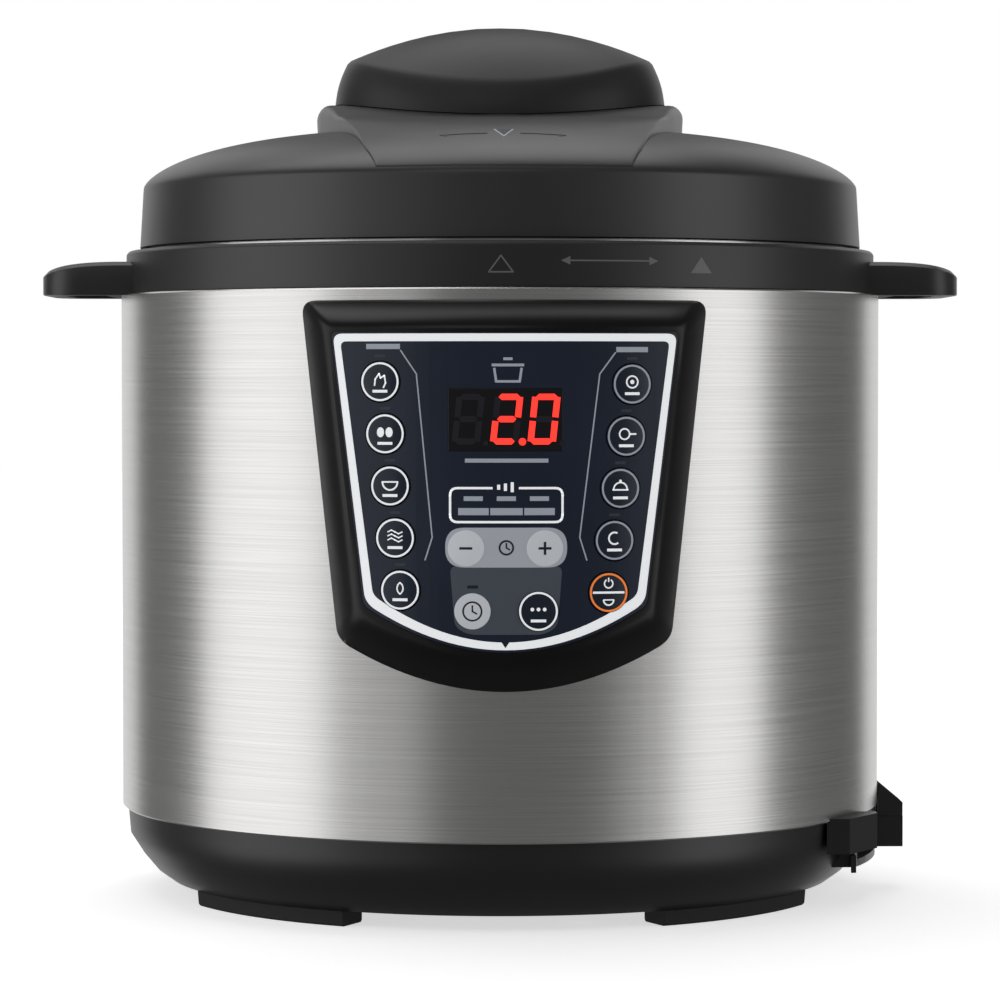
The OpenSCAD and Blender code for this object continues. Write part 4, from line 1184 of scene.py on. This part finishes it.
@dataclass
class Keypad:
    """The fourteen keys.

    Args:
        left_x: Middle of the left column's top key.
        right_x: Middle of the right column's top key.
        left_step: How far each left key moves towards the middle.
        right_step: How far each right key moves towards the middle.
        pitch: Height between rows.
        top: Height of the top row, left and right.
        key_r: Radius of a key.
        small_r: Radius of a small key.
        pair_x: Distance of the minus and plus keys from the middle.
        pair_z: Height of those two.
        low_x: Distance of the timer and taste keys from the middle.
        low_z: Height of those two.
        dash_up: Height of a dash over its key.
        left: Name and sign of each key of the left column.
        right: Name and sign of each key of the right column.
    """

    left_x: float = 40.6
    right_x: float = 41.2
    left_step: float = 1.62
    right_step: float = 1.92
    pitch: float = 16.9
    top: Point = (182.8, 182.0)
    key_r: float = 6.6
    small_r: float = 5.9
    pair_x: float = 12.8
    pair_z: float = 128.9
    low_x: float = 10.7
    low_z: float = 108.5
    dash_up: float = 8.3
    left: tuple[tuple[str, Sign], ...] = (("meat", Sign.FLAME), ("beans", Sign.DROP), ("rice", Sign.BOWL),
                                          ("soup", Sign.WAVES), ("recipe", Sign.LEAF))
    right: tuple[tuple[str, Sign], ...] = (("roast", Sign.RING), ("fry", Sign.PAN), ("saute", Sign.LID),
                                           ("slow", Sign.MOON), ("power", Sign.POWER))

    def build(self) -> None:
        """Build both columns, the small keys and the dashes over the keys."""
        dashes = Sketch()
        for i, (left, right) in enumerate(zip(self.left, self.right)):
            for x, z, (name, sign), ring in (
                (-self.left_x + self.left_step * i, self.top[0] - self.pitch * i, left, INK_WHITE),
                (self.right_x - self.right_step * i, self.top[1] - self.pitch * i, right, INK_PALE),
            ):
                lit = sign is Sign.POWER
                Key("button_" + name, x, z, self.key_r, sign, KEY_NAVY, INK_WHITE, INK_ORANGE if lit else ring).build()
                if not lit:
                    dashes.bar(x, z + self.dash_up, 3.4, 0.9)
        for name, x, z, sign in (("minus", -self.pair_x, self.pair_z, Sign.MINUS),
                                 ("plus", self.pair_x, self.pair_z, Sign.PLUS),
                                 ("timer", -self.low_x, self.low_z, Sign.CLOCK)):
            Key("button_" + name, x, z, self.small_r, sign, KEY_SILVER, INK_DARK).build()
        Key("button_taste", self.low_x, self.low_z, self.key_r, Sign.DOTS, KEY_NAVY, INK_WHITE, INK_WHITE).build()
        finish_piece("key_dashes", bend(dashes.raised(0.0, PRINT_UP, STRIP), FILM_R), "housing", INK_GREY,
                     "overlay_film")


# ---------------------------------------------------------------- lid


@dataclass
class Cap:
    """The crowned cap of the lid's handle.

    Args:
        foot: Half width and half depth at its foot.
        foot_z: Height of the foot at the sides, and at front and back.
        crease: Half width and half depth at the crease.
        crease_z: Height of the crease at the sides, and at front and back.
        top_z: Height of the crown's middle.
        belly: How far its wall bulges.
        lip: Width of the flat under its foot.
        shares: Sizes of the crown's rings, as shares of the crease.
        steps: Points round each ring.
    """

    foot: Point = (59.3, 49.0)
    foot_z: Point = (281.9, 275.9)
    crease: Point = (54.6, 45.0)
    crease_z: Point = (297.4, 287.3)
    top_z: float = 309.7
    belly: float = 0.9
    lip: float = 2.5
    shares: tuple[float, ...] = (0.985, 0.965, 0.93, 0.88, 0.81, 0.72, 0.61, 0.48, 0.34, 0.18, 0.04)
    steps: int = 144

    def ring(self, half: Point, sides: float, ends: float) -> list[Vector]:
        """Draw an oval whose height swings between its sides and its ends.

        Args:
            half: Half its width and half its depth.
            sides: Its height at the sides.
            ends: Its height at front and back.

        Returns:
            Its points.
        """
        turns = [math.tau * k / self.steps for k in range(self.steps)]
        return [Vector((half[0] * math.cos(t), half[1] * math.sin(t), sides + (ends - sides) * math.sin(t) ** 2))
                for t in turns]

    def build(self) -> None:
        """Loft the wall, the softened crease and the crown."""
        rings = [self.ring((self.foot[0] - self.lip, self.foot[1] - self.lip), *self.foot_z)]
        for k in range(8):
            t = k / 7 * 0.95
            bulge = self.belly * math.sin(math.pi * t)
            half = tuple(a + (b - a) * t + bulge for a, b in zip(self.foot, self.crease))
            rings.append(self.ring(half, *(a + (b - a) * t for a, b in zip(self.foot_z, self.crease_z))))
        for share in self.shares:
            sides, ends = (self.top_z - (self.top_z - z) * share ** 2 for z in self.crease_z)
            rings.append(self.ring((self.crease[0] * share, self.crease[1] * share), sides, ends))
        finish_piece("cap_crown", stack(rings, low_cap=True, high_cap=True), "lid", CAP_BLACK, "cap_plastic",
                     replaces=("handle_cap",), smooth=60)


@dataclass
class Lid:
    """The lid and what it carries.

    Args:
        shoulder_z: Height of the dome's shoulder.
        dome_r: Radius of the dome.
        dome_h: Height of the dome.
        dome_curve: Exponents of its section: how flat its middle is, and how round its edge.
        rim: Radius and height of the cover's lower edge.
        sheet: Thickness of the cover.
        holes: Place and radius of the holes for the valves.
        slide_r: Radius where the tongue starts to slide down onto the dome.
        slide_rise: How far it rises from its end: in a round step, and in a long curve.
        edge_r: Radius of the tongue's end.
        hub_z: Height of the hub at its middle.
        hub_half: Half width and half depth of the hub.
        hub_round: Rounding of the hub's edge.
        sharpen: Where the rounding ends on the tongue, the length over which it shrinks, and what is left of it.
        hub_middle: Where its rings shrink to, across and along.
        cap_depth: Half depth of the cap that stands on it.
        cap_fall: How far the cap's foot falls from its middle to its front.
        ridge: Where and how high the tongue's middle bends, from the hub outwards.
        flank: Plan points of the tongue's side, from the hub to the dome's edge.
        shares: Sizes of the rings on top, as shares of the outline.
        mark_y: Where the tongue's mark lies.
        mark_x: Ends of its arrows.
    """

    shoulder_z: float = 251.5
    dome_r: float = 128.0
    dome_h: float = 20.5
    dome_curve: Point = (3.3, 0.645)
    rim: Point = (129.3, 229.9)
    sheet: float = 2.2
    holes: tuple[tuple[float, float, float], ...] = ((0.0, 92.0, 8.5), (-30.0, 85.0, 5.8))
    slide_r: float = 70.0
    slide_rise: Point = (1.4, 8.0)
    edge_r: float = 127.7
    hub_z: float = 281.5
    hub_half: Point = (66.0, 52.0)
    hub_round: float = 5.0
    sharpen: tuple[float, float, float] = (-75.0, 55.0, 0.14)
    hub_middle: Point = (0.0, -38.0)
    cap_depth: float = 49.0
    cap_fall: float = 6.0
    ridge: tuple[Point, ...] = ((-52.0, 274.84), (-68.0, 272.8), (-85.0, 270.6), (-130.0, 266.48))
    flank: tuple[Point, ...] = ((65.2, -10.0), (64.5, -24.0), (60.0, -45.0), (55.0, -66.0), (50.0, -88.0),
                                (46.0, -108.0), (42.5, -119.9))
    shares: tuple[float, ...] = (0.985, 0.965, 0.94, 0.91, 0.87, 0.82, 0.76, 0.68, 0.58, 0.46, 0.34, 0.2, 0.06)
    mark_y: float = -105.0
    mark_x: Point = (-19.0, 18.4)

    def dome(self, r: float) -> float:
        """Height of the dome's surface at a radius."""
        middle, edge = self.dome_curve
        return self.shoulder_z + self.dome_h * max(0.0, 1 - (r / self.dome_r) ** middle) ** edge

    def tongue(self, x: float, y: float) -> float:
        """Find the height of the hub's top, which runs on as the tongue in front.

        Args:
            x: Place across.
            y: Place along; the front is negative.

        Returns:
            The height.
        """
        r = math.hypot(x, y)
        u = max(0.0, (self.edge_r - r) / (self.edge_r - self.slide_r))
        step, climb = self.slide_rise
        slide = self.dome(r) + step * math.sqrt(u) + climb * u ** 2.5 if r > self.slide_r else self.hub_z
        if y > -self.hub_half[1]:
            return min(slide, self.hub_z + 0.1 - self.cap_fall * (y / self.cap_depth) ** 2)
        (y0, z0), (y1, z1) = next(pair for pair in zip(self.ridge, self.ridge[1:]) if y > pair[1][0])
        return min(slide, z0 + (y - y0) * (z1 - z0) / (y1 - y0))

    def shell(self) -> None:
        """Spin the dome with its skirt, cut the valves' holes and give it its thickness."""
        steps = 44
        radii = [self.dome_r * math.sin(math.pi / 2 * k / steps) for k in range(steps, -1, -1)]
        low_r, low_z = self.rim
        skirt = [(low_r - 0.4, low_z), (low_r, low_z + 0.5), (low_r - 0.05, low_z + 1.2),
                 (self.dome_r + 0.1, self.shoulder_z - 1.2)]
        bm = lathe(skirt + [(r, self.dome(r)) for r in radii], TURNS, closed=False)
        for x, y, r in self.holes:
            middle = Vector((x, y))
            inside = [f for f in bm.faces if (f.calc_center_median().xy - middle).length < r
                      and f.calc_center_median().z > self.shoulder_z]
            bmesh.ops.delete(bm, geom=inside, context="FACES")
            for vert in bm.verts:
                way = vert.co.xy - middle
                if vert.is_boundary and way.length < r + 6 and vert.co.z > self.shoulder_z:
                    vert.co.xy = middle + way.normalized() * r
                    vert.co.z = self.dome(vert.co.xy.length)
        piece = finish_piece("lid_dome", bm, "lid", LID_BLACK, "lid_plastic", replaces=("lid_cover",), smooth=28)
        thicken(piece, self.sheet)

    def hub(self) -> None:
        """Loft the hub with its rounded ears and the tongue that runs down to the dome's edge."""
        wide, deep = self.hub_half
        back = [(wide * math.cos(math.radians(a)), deep * math.sin(math.radians(a))) for a in range(90, 1, -4)]
        flank = []
        for (x0, y0), (x1, y1) in zip(self.flank, self.flank[1:]):
            flank += [(x0 + (x1 - x0) * t / 4, y0 + (y1 - y0) * t / 4) for t in range(4)]
        flank.append(self.flank[-1])
        end = math.atan2(self.flank[-1][0], -self.flank[-1][1])
        lip_r = self.edge_r - 0.5
        lip = [(lip_r * math.sin(end * t / 12), -lip_r * math.cos(end * t / 12)) for t in range(12, -1, -1)]
        half = back + flank + lip
        plan = half + [(-x, y) for x, y in reversed(half[1:-1])]
        middle = Vector(self.hub_middle)
        far, over, least = self.sharpen

        def ring(inset: float, drop: float, share: float = 1.0) -> list[Vector]:
            """Move the plan outline in and lay it on the surface.

            Args:
                inset: How far it moves in, less towards the tongue's end.
                drop: How far it lies below the surface, less towards the tongue's end.
                share: Its size, as a share.

            Returns:
                The ring.
            """
            out = []
            for x, y in plan:
                size = min(1.0, max(least, (y - far) / over))
                way = (middle - Vector((x, y))).normalized() * inset * size
                px, py = middle + (Vector((x, y)) + way - middle) * share
                out.append(Vector((px, py, self.tongue(px, py) - drop * size)))
            return out

        rings = [[Vector((x * 0.995, y * 0.995, min(self.dome(math.hypot(x, y)), self.tongue(x, y)) - 2.0))
                  for x, y in plan]]
        for k in range(7):
            a = math.radians(90 * k / 6)
            rings.append(ring(self.hub_round * (1 - math.cos(a)), self.hub_round * (1 - math.sin(a))))
        rings += [ring(self.hub_round, 0.0, share) for share in self.shares]
        finish_piece("lid_hub", stack(rings, low_cap=True, high_cap=True), "lid", LID_BLACK, "lid_plastic", smooth=40)

    def build(self) -> None:
        """Build the lid's pieces."""
        self.shell()
        self.hub()
        Cap().build()
        refine_all((("lid_plate", LID_STEEL, 0.3), ("lid_screws", SCREW_STEEL, 0.25),
                    ("vent_pipe", TURNED_STEEL, 0.2), ("anti_block_cover", TURNED_STEEL, 0.2),
                    ("float_valve", TURNED_STEEL, 0.25), ("float_seal", SILICONE, 0.2),
                    ("sealing_ring", SILICONE, 0.4)))
        refine("pressure_valve", VALVE_BLACK, 0.5, segments=3)
        self.mark()

    def mark(self) -> None:
        """Print the pointer and its two arrows on the tongue."""
        level = self.mark_y - 1
        tip = [(-3.1, level + 3.6), (0.0, level - 3.2), (3.1, level + 3.6)]
        ink = Sketch().shape(tip)
        for x, way in zip(self.mark_x, (-1, 1)):
            ink.stroke([(x, level), (way * 5.6, level)][::-way], 0.45)
        for x, way in zip(self.mark_x, (-1, 1)):
            ink.shape([(x + way * 2.4, level), (x, level + 1.4), (x, level - 1.4)])
        for name, art, finish, out in (("tongue_mark", ink, INK_DARK, 0.14),
                                       ("tongue_outline", Sketch().stroke(tip, 0.4), INK_PALE, 0.2)):
            bm = art.raised(-0.1, out, 1.5, 1.5)
            for vert in bm.verts:
                vert.co.z += self.tongue(vert.co.x, vert.co.y)
            finish_piece(name, bm, "lid", finish, "lid_plastic")


# ---------------------------------------------------------------- the rest


@dataclass
class Vessels:
    """The two pots, the heating plate and its sensor.

    Args:
        edge: Width of the rounding of their edges.
    """

    edge: float = 0.3

    def build(self) -> None:
        """Build the pots and what heats them."""
        wide, fine = self.edge, self.edge / 2
        refine_all((("inner_pot", NON_STICK, wide), ("outer_pot", SPUN_ALUMINIUM, wide),
                    ("heating_plate", CAST_ALUMINIUM, wide), ("element_terminals", CERAMIC, wide),
                    ("sensor_bracket", SCREW_STEEL, fine), ("sensor_cap", SPUN_ALUMINIUM, wide),
                    ("thermal_fuse", CERAMIC, wide), ("pressure_switch", PHENOLIC, wide),
                    ("power_board", SOLDER_MASK, fine), ("support_posts", SCREW_STEEL, wide)))
        self.spring()

    def spring(self) -> None:
        """Refine the sensor's spring, which shortens as the sensor is pressed."""
        spring = refine("sensor_spring", TURNED_STEEL, 0.0, smooth=60)
        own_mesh(spring)


@dataclass
class Rear:
    """The power inlet, the drain, the bracket and the cup.

    Args:
        edge: Width of the rounding of their edges.
        pin_end: How far to the right the pins reach, inside the inlet's cheek.
    """

    edge: float = 0.5
    pin_end: float = 126.0

    def build(self) -> None:
        """Build what sits on the cooker's right and back."""
        refine("inlet_housing", BASE_BLACK, self.edge, segments=3)
        pins = node_copy("inlet_pins")
        for vert in pins.verts:
            vert.co.x = min(vert.co.x, self.pin_end)
        finish_piece("inlet_pins_piece", pins, "housing", BRASS, SLOTS["inlet_pins"], replaces=("inlet_pins",),
                     bevel=self.edge / 2)
        refine_all((("drain_tube", SILICONE, self.edge / 2), ("cup_bracket", COLLAR_BLACK, self.edge),
                    ("condensate_cup", CLEAR, self.edge)))


# ---------------------------------------------------------------- studio


def facing(at: tuple[float, float, float], aim: tuple[float, float, float]) -> Matrix:
    """Where a lamp or a camera stands, turned so that it looks at a point."""
    way = Vector(aim) - Vector(at)
    return Matrix.Translation(at) @ way.to_track_quat("-Z", "Y").to_matrix().to_4x4()


def put_on_stage(piece: bpy.types.Object) -> None:
    """Link an object that isn't part of the cooker."""
    bpy.context.scene.collection.objects.link(piece)


def split_for_camera(tree: bpy.types.NodeTree, unseen: bpy.types.NodeSocket, seen: bpy.types.NodeSocket,
                     output: bpy.types.ShaderNode) -> None:
    """Show one shader to the camera and another to everything else.

    Args:
        tree: The nodes.
        unseen: What light and reflections meet.
        seen: What the camera sees.
        output: The output node.
    """
    path = tree.nodes.new("ShaderNodeLightPath")
    mix = tree.nodes.new("ShaderNodeMixShader")
    tree.links.new(path.outputs["Is Camera Ray"], mix.inputs["Fac"])
    tree.links.new(unseen, mix.inputs[1])
    tree.links.new(seen, mix.inputs[2])
    tree.links.new(mix.outputs["Shader"], output.inputs["Surface"])


@dataclass(frozen=True)
class Softbox:
    """A rectangular soft light.

    Args:
        name: Its name.
        at: Where it stands, in metres.
        width: Its width, in metres.
        height: Its height, in metres.
        radiance: How bright its face is.
        aim: The point that it faces, in metres.
    """

    name: str
    at: tuple[float, float, float]
    width: float
    height: float
    radiance: float
    aim: tuple[float, float, float] = (0.0, 0.0, 0.16)

    def build(self) -> None:
        """Add the light."""
        lamp = bpy.data.lights.new(self.name, "AREA")
        lamp.shape = "RECTANGLE"
        lamp.size = self.width
        lamp.size_y = self.height
        lamp.energy = self.radiance * math.pi * self.width * self.height
        holder = bpy.data.objects.new(self.name, lamp)
        holder.matrix_world = facing(self.at, self.aim)
        put_on_stage(holder)


@dataclass
class Studio:
    """Floor, backdrop, light and camera.

    Args:
        eye: The camera's place, in metres.
        aim: The point that it looks at, in metres.
        lens: Its focal length, in millimetres.
        sensor: Its sensor's width, in millimetres.
        far: How far it sees, in metres.
        floor: Half the side of the floor, in metres.
        ambient: How bright the room is for everything but the camera.
        paper_glow: How far the floor's paper is lifted towards white.
        glow_reach: Distances over which that glow grows to full white, in metres.
        lights: The softboxes.
    """

    eye: tuple[float, float, float] = (-0.0165, -1.3879, 0.1846)
    aim: tuple[float, float, float] = (0.0, 0.0, 0.1398)
    lens: float = 138.2
    sensor: float = 36.0
    far: float = 50.0
    floor: float = 6.0
    ambient: float = 0.13
    paper_glow: float = 0.62
    glow_reach: Point = (0.3, 2.0)
    lights: tuple[Softbox, ...] = field(default_factory=lambda: (
        Softbox("left_softbox", (-1.53, -0.46, 0.2), 1.35, 2.2, 1.15),
        Softbox("left_front_softbox", (-0.94, -1.29, 0.2), 0.8, 2.2, 0.34),
        Softbox("right_softbox", (1.46, -0.66, 0.2), 0.86, 2.2, 1.15),
        Softbox("right_front_softbox", (1.07, -1.19, 0.2), 0.5, 2.2, 0.26),
        Softbox("rear_left_softbox", (-0.75, 1.45, 0.3), 0.9, 2.2, 0.8),
        Softbox("rear_right_softbox", (0.75, 1.45, 0.3), 0.9, 2.2, 0.8),
        Softbox("top_softbox", (-0.2, 0.55, 1.75), 1.7, 1.3, 1.55),
        Softbox("front_fill", (-0.4, -1.9, 1.7), 1.2, 0.8, 0.9),
    ))

    def build(self) -> None:
        """Build the studio."""
        scene = bpy.context.scene
        scene.view_settings.view_transform = "Standard"
        self.room(scene)
        bm = bmesh.new()
        bmesh.ops.create_grid(bm, x_segments=8, y_segments=8, size=self.floor)
        mesh = bpy.data.meshes.new("floor")
        bm.to_mesh(mesh)
        bm.free()
        mesh.materials.append(self.paper())
        put_on_stage(bpy.data.objects.new("floor", mesh))
        for light in self.lights:
            light.build()
        lens = bpy.data.cameras.new("camera")
        lens.lens = self.lens
        lens.sensor_width = self.sensor
        lens.clip_end = self.far
        camera = bpy.data.objects.new("camera", lens)
        camera.matrix_world = facing(self.eye, self.aim)
        put_on_stage(camera)
        scene.camera = camera

    def paper(self) -> bpy.types.Material:
        """The floor's paper: pale where the camera sees it, and left out of the cooker's reflections.

        Returns:
            The material.
        """
        mat = bpy.data.materials.new("floor_paper")
        mat.use_nodes = True
        tree = mat.node_tree
        pale = tree.nodes["Principled BSDF"]
        pale.inputs["Base Color"].default_value = (0.9, 0.9, 0.9, 1)
        pale.inputs["Roughness"].default_value = 0.9
        pale.inputs["Specular IOR Level"].default_value = 0.0
        pale.inputs["Emission Color"].default_value = (1, 1, 1, 1)
        clear = tree.nodes.new("ShaderNodeBsdfTransparent")
        where = tree.nodes.new("ShaderNodeTexCoord")
        reach = tree.nodes.new("ShaderNodeVectorMath")
        reach.operation = "LENGTH"
        fade = tree.nodes.new("ShaderNodeMapRange")
        fade.inputs["From Min"].default_value = self.glow_reach[0]
        fade.inputs["From Max"].default_value = self.glow_reach[1]
        fade.inputs["To Min"].default_value = self.paper_glow
        fade.inputs["To Max"].default_value = 1.0
        tree.links.new(where.outputs["Object"], reach.inputs[0])
        tree.links.new(reach.outputs["Value"], fade.inputs["Value"])
        tree.links.new(fade.outputs["Result"], pale.inputs["Emission Strength"])
        split_for_camera(tree, clear.outputs["BSDF"], pale.outputs["BSDF"], tree.nodes["Material Output"])
        return mat

    def room(self, scene: bpy.types.Scene) -> None:
        """Make the surroundings grey, and white where the camera looks straight at them.

        Args:
            scene: The scene.
        """
        world = bpy.data.worlds.new("room")
        scene.world = world
        world.use_nodes = True
        tree = world.node_tree
        grey = tree.nodes["Background"]
        grey.inputs["Color"].default_value = (1, 1, 1, 1)
        grey.inputs["Strength"].default_value = self.ambient
        white = tree.nodes.new("ShaderNodeBackground")
        white.inputs["Color"].default_value = (1, 1, 1, 1)
        split_for_camera(tree, grey.outputs["Background"], white.outputs["Background"], tree.nodes["World Output"])


@dataclass
class Cooker:
    """The whole cooker.

    Args:
        groups: Its sub-assemblies.
    """

    groups: tuple[Body | Panel | Keypad | Lid | Vessels | Rear, ...] = field(
        default_factory=lambda: (Body(), Panel(), Keypad(), Lid(), Vessels(), Rear()))

    def build(self) -> None:
        """Build every sub-assembly."""
        for group in self.groups:
            log.info("building %s", type(group).__name__)
            group.build()


def main() -> None:
    """Build the cooker and its studio."""
    Cooker().build()
    Studio().build()


if __name__ == "__main__":
    main()
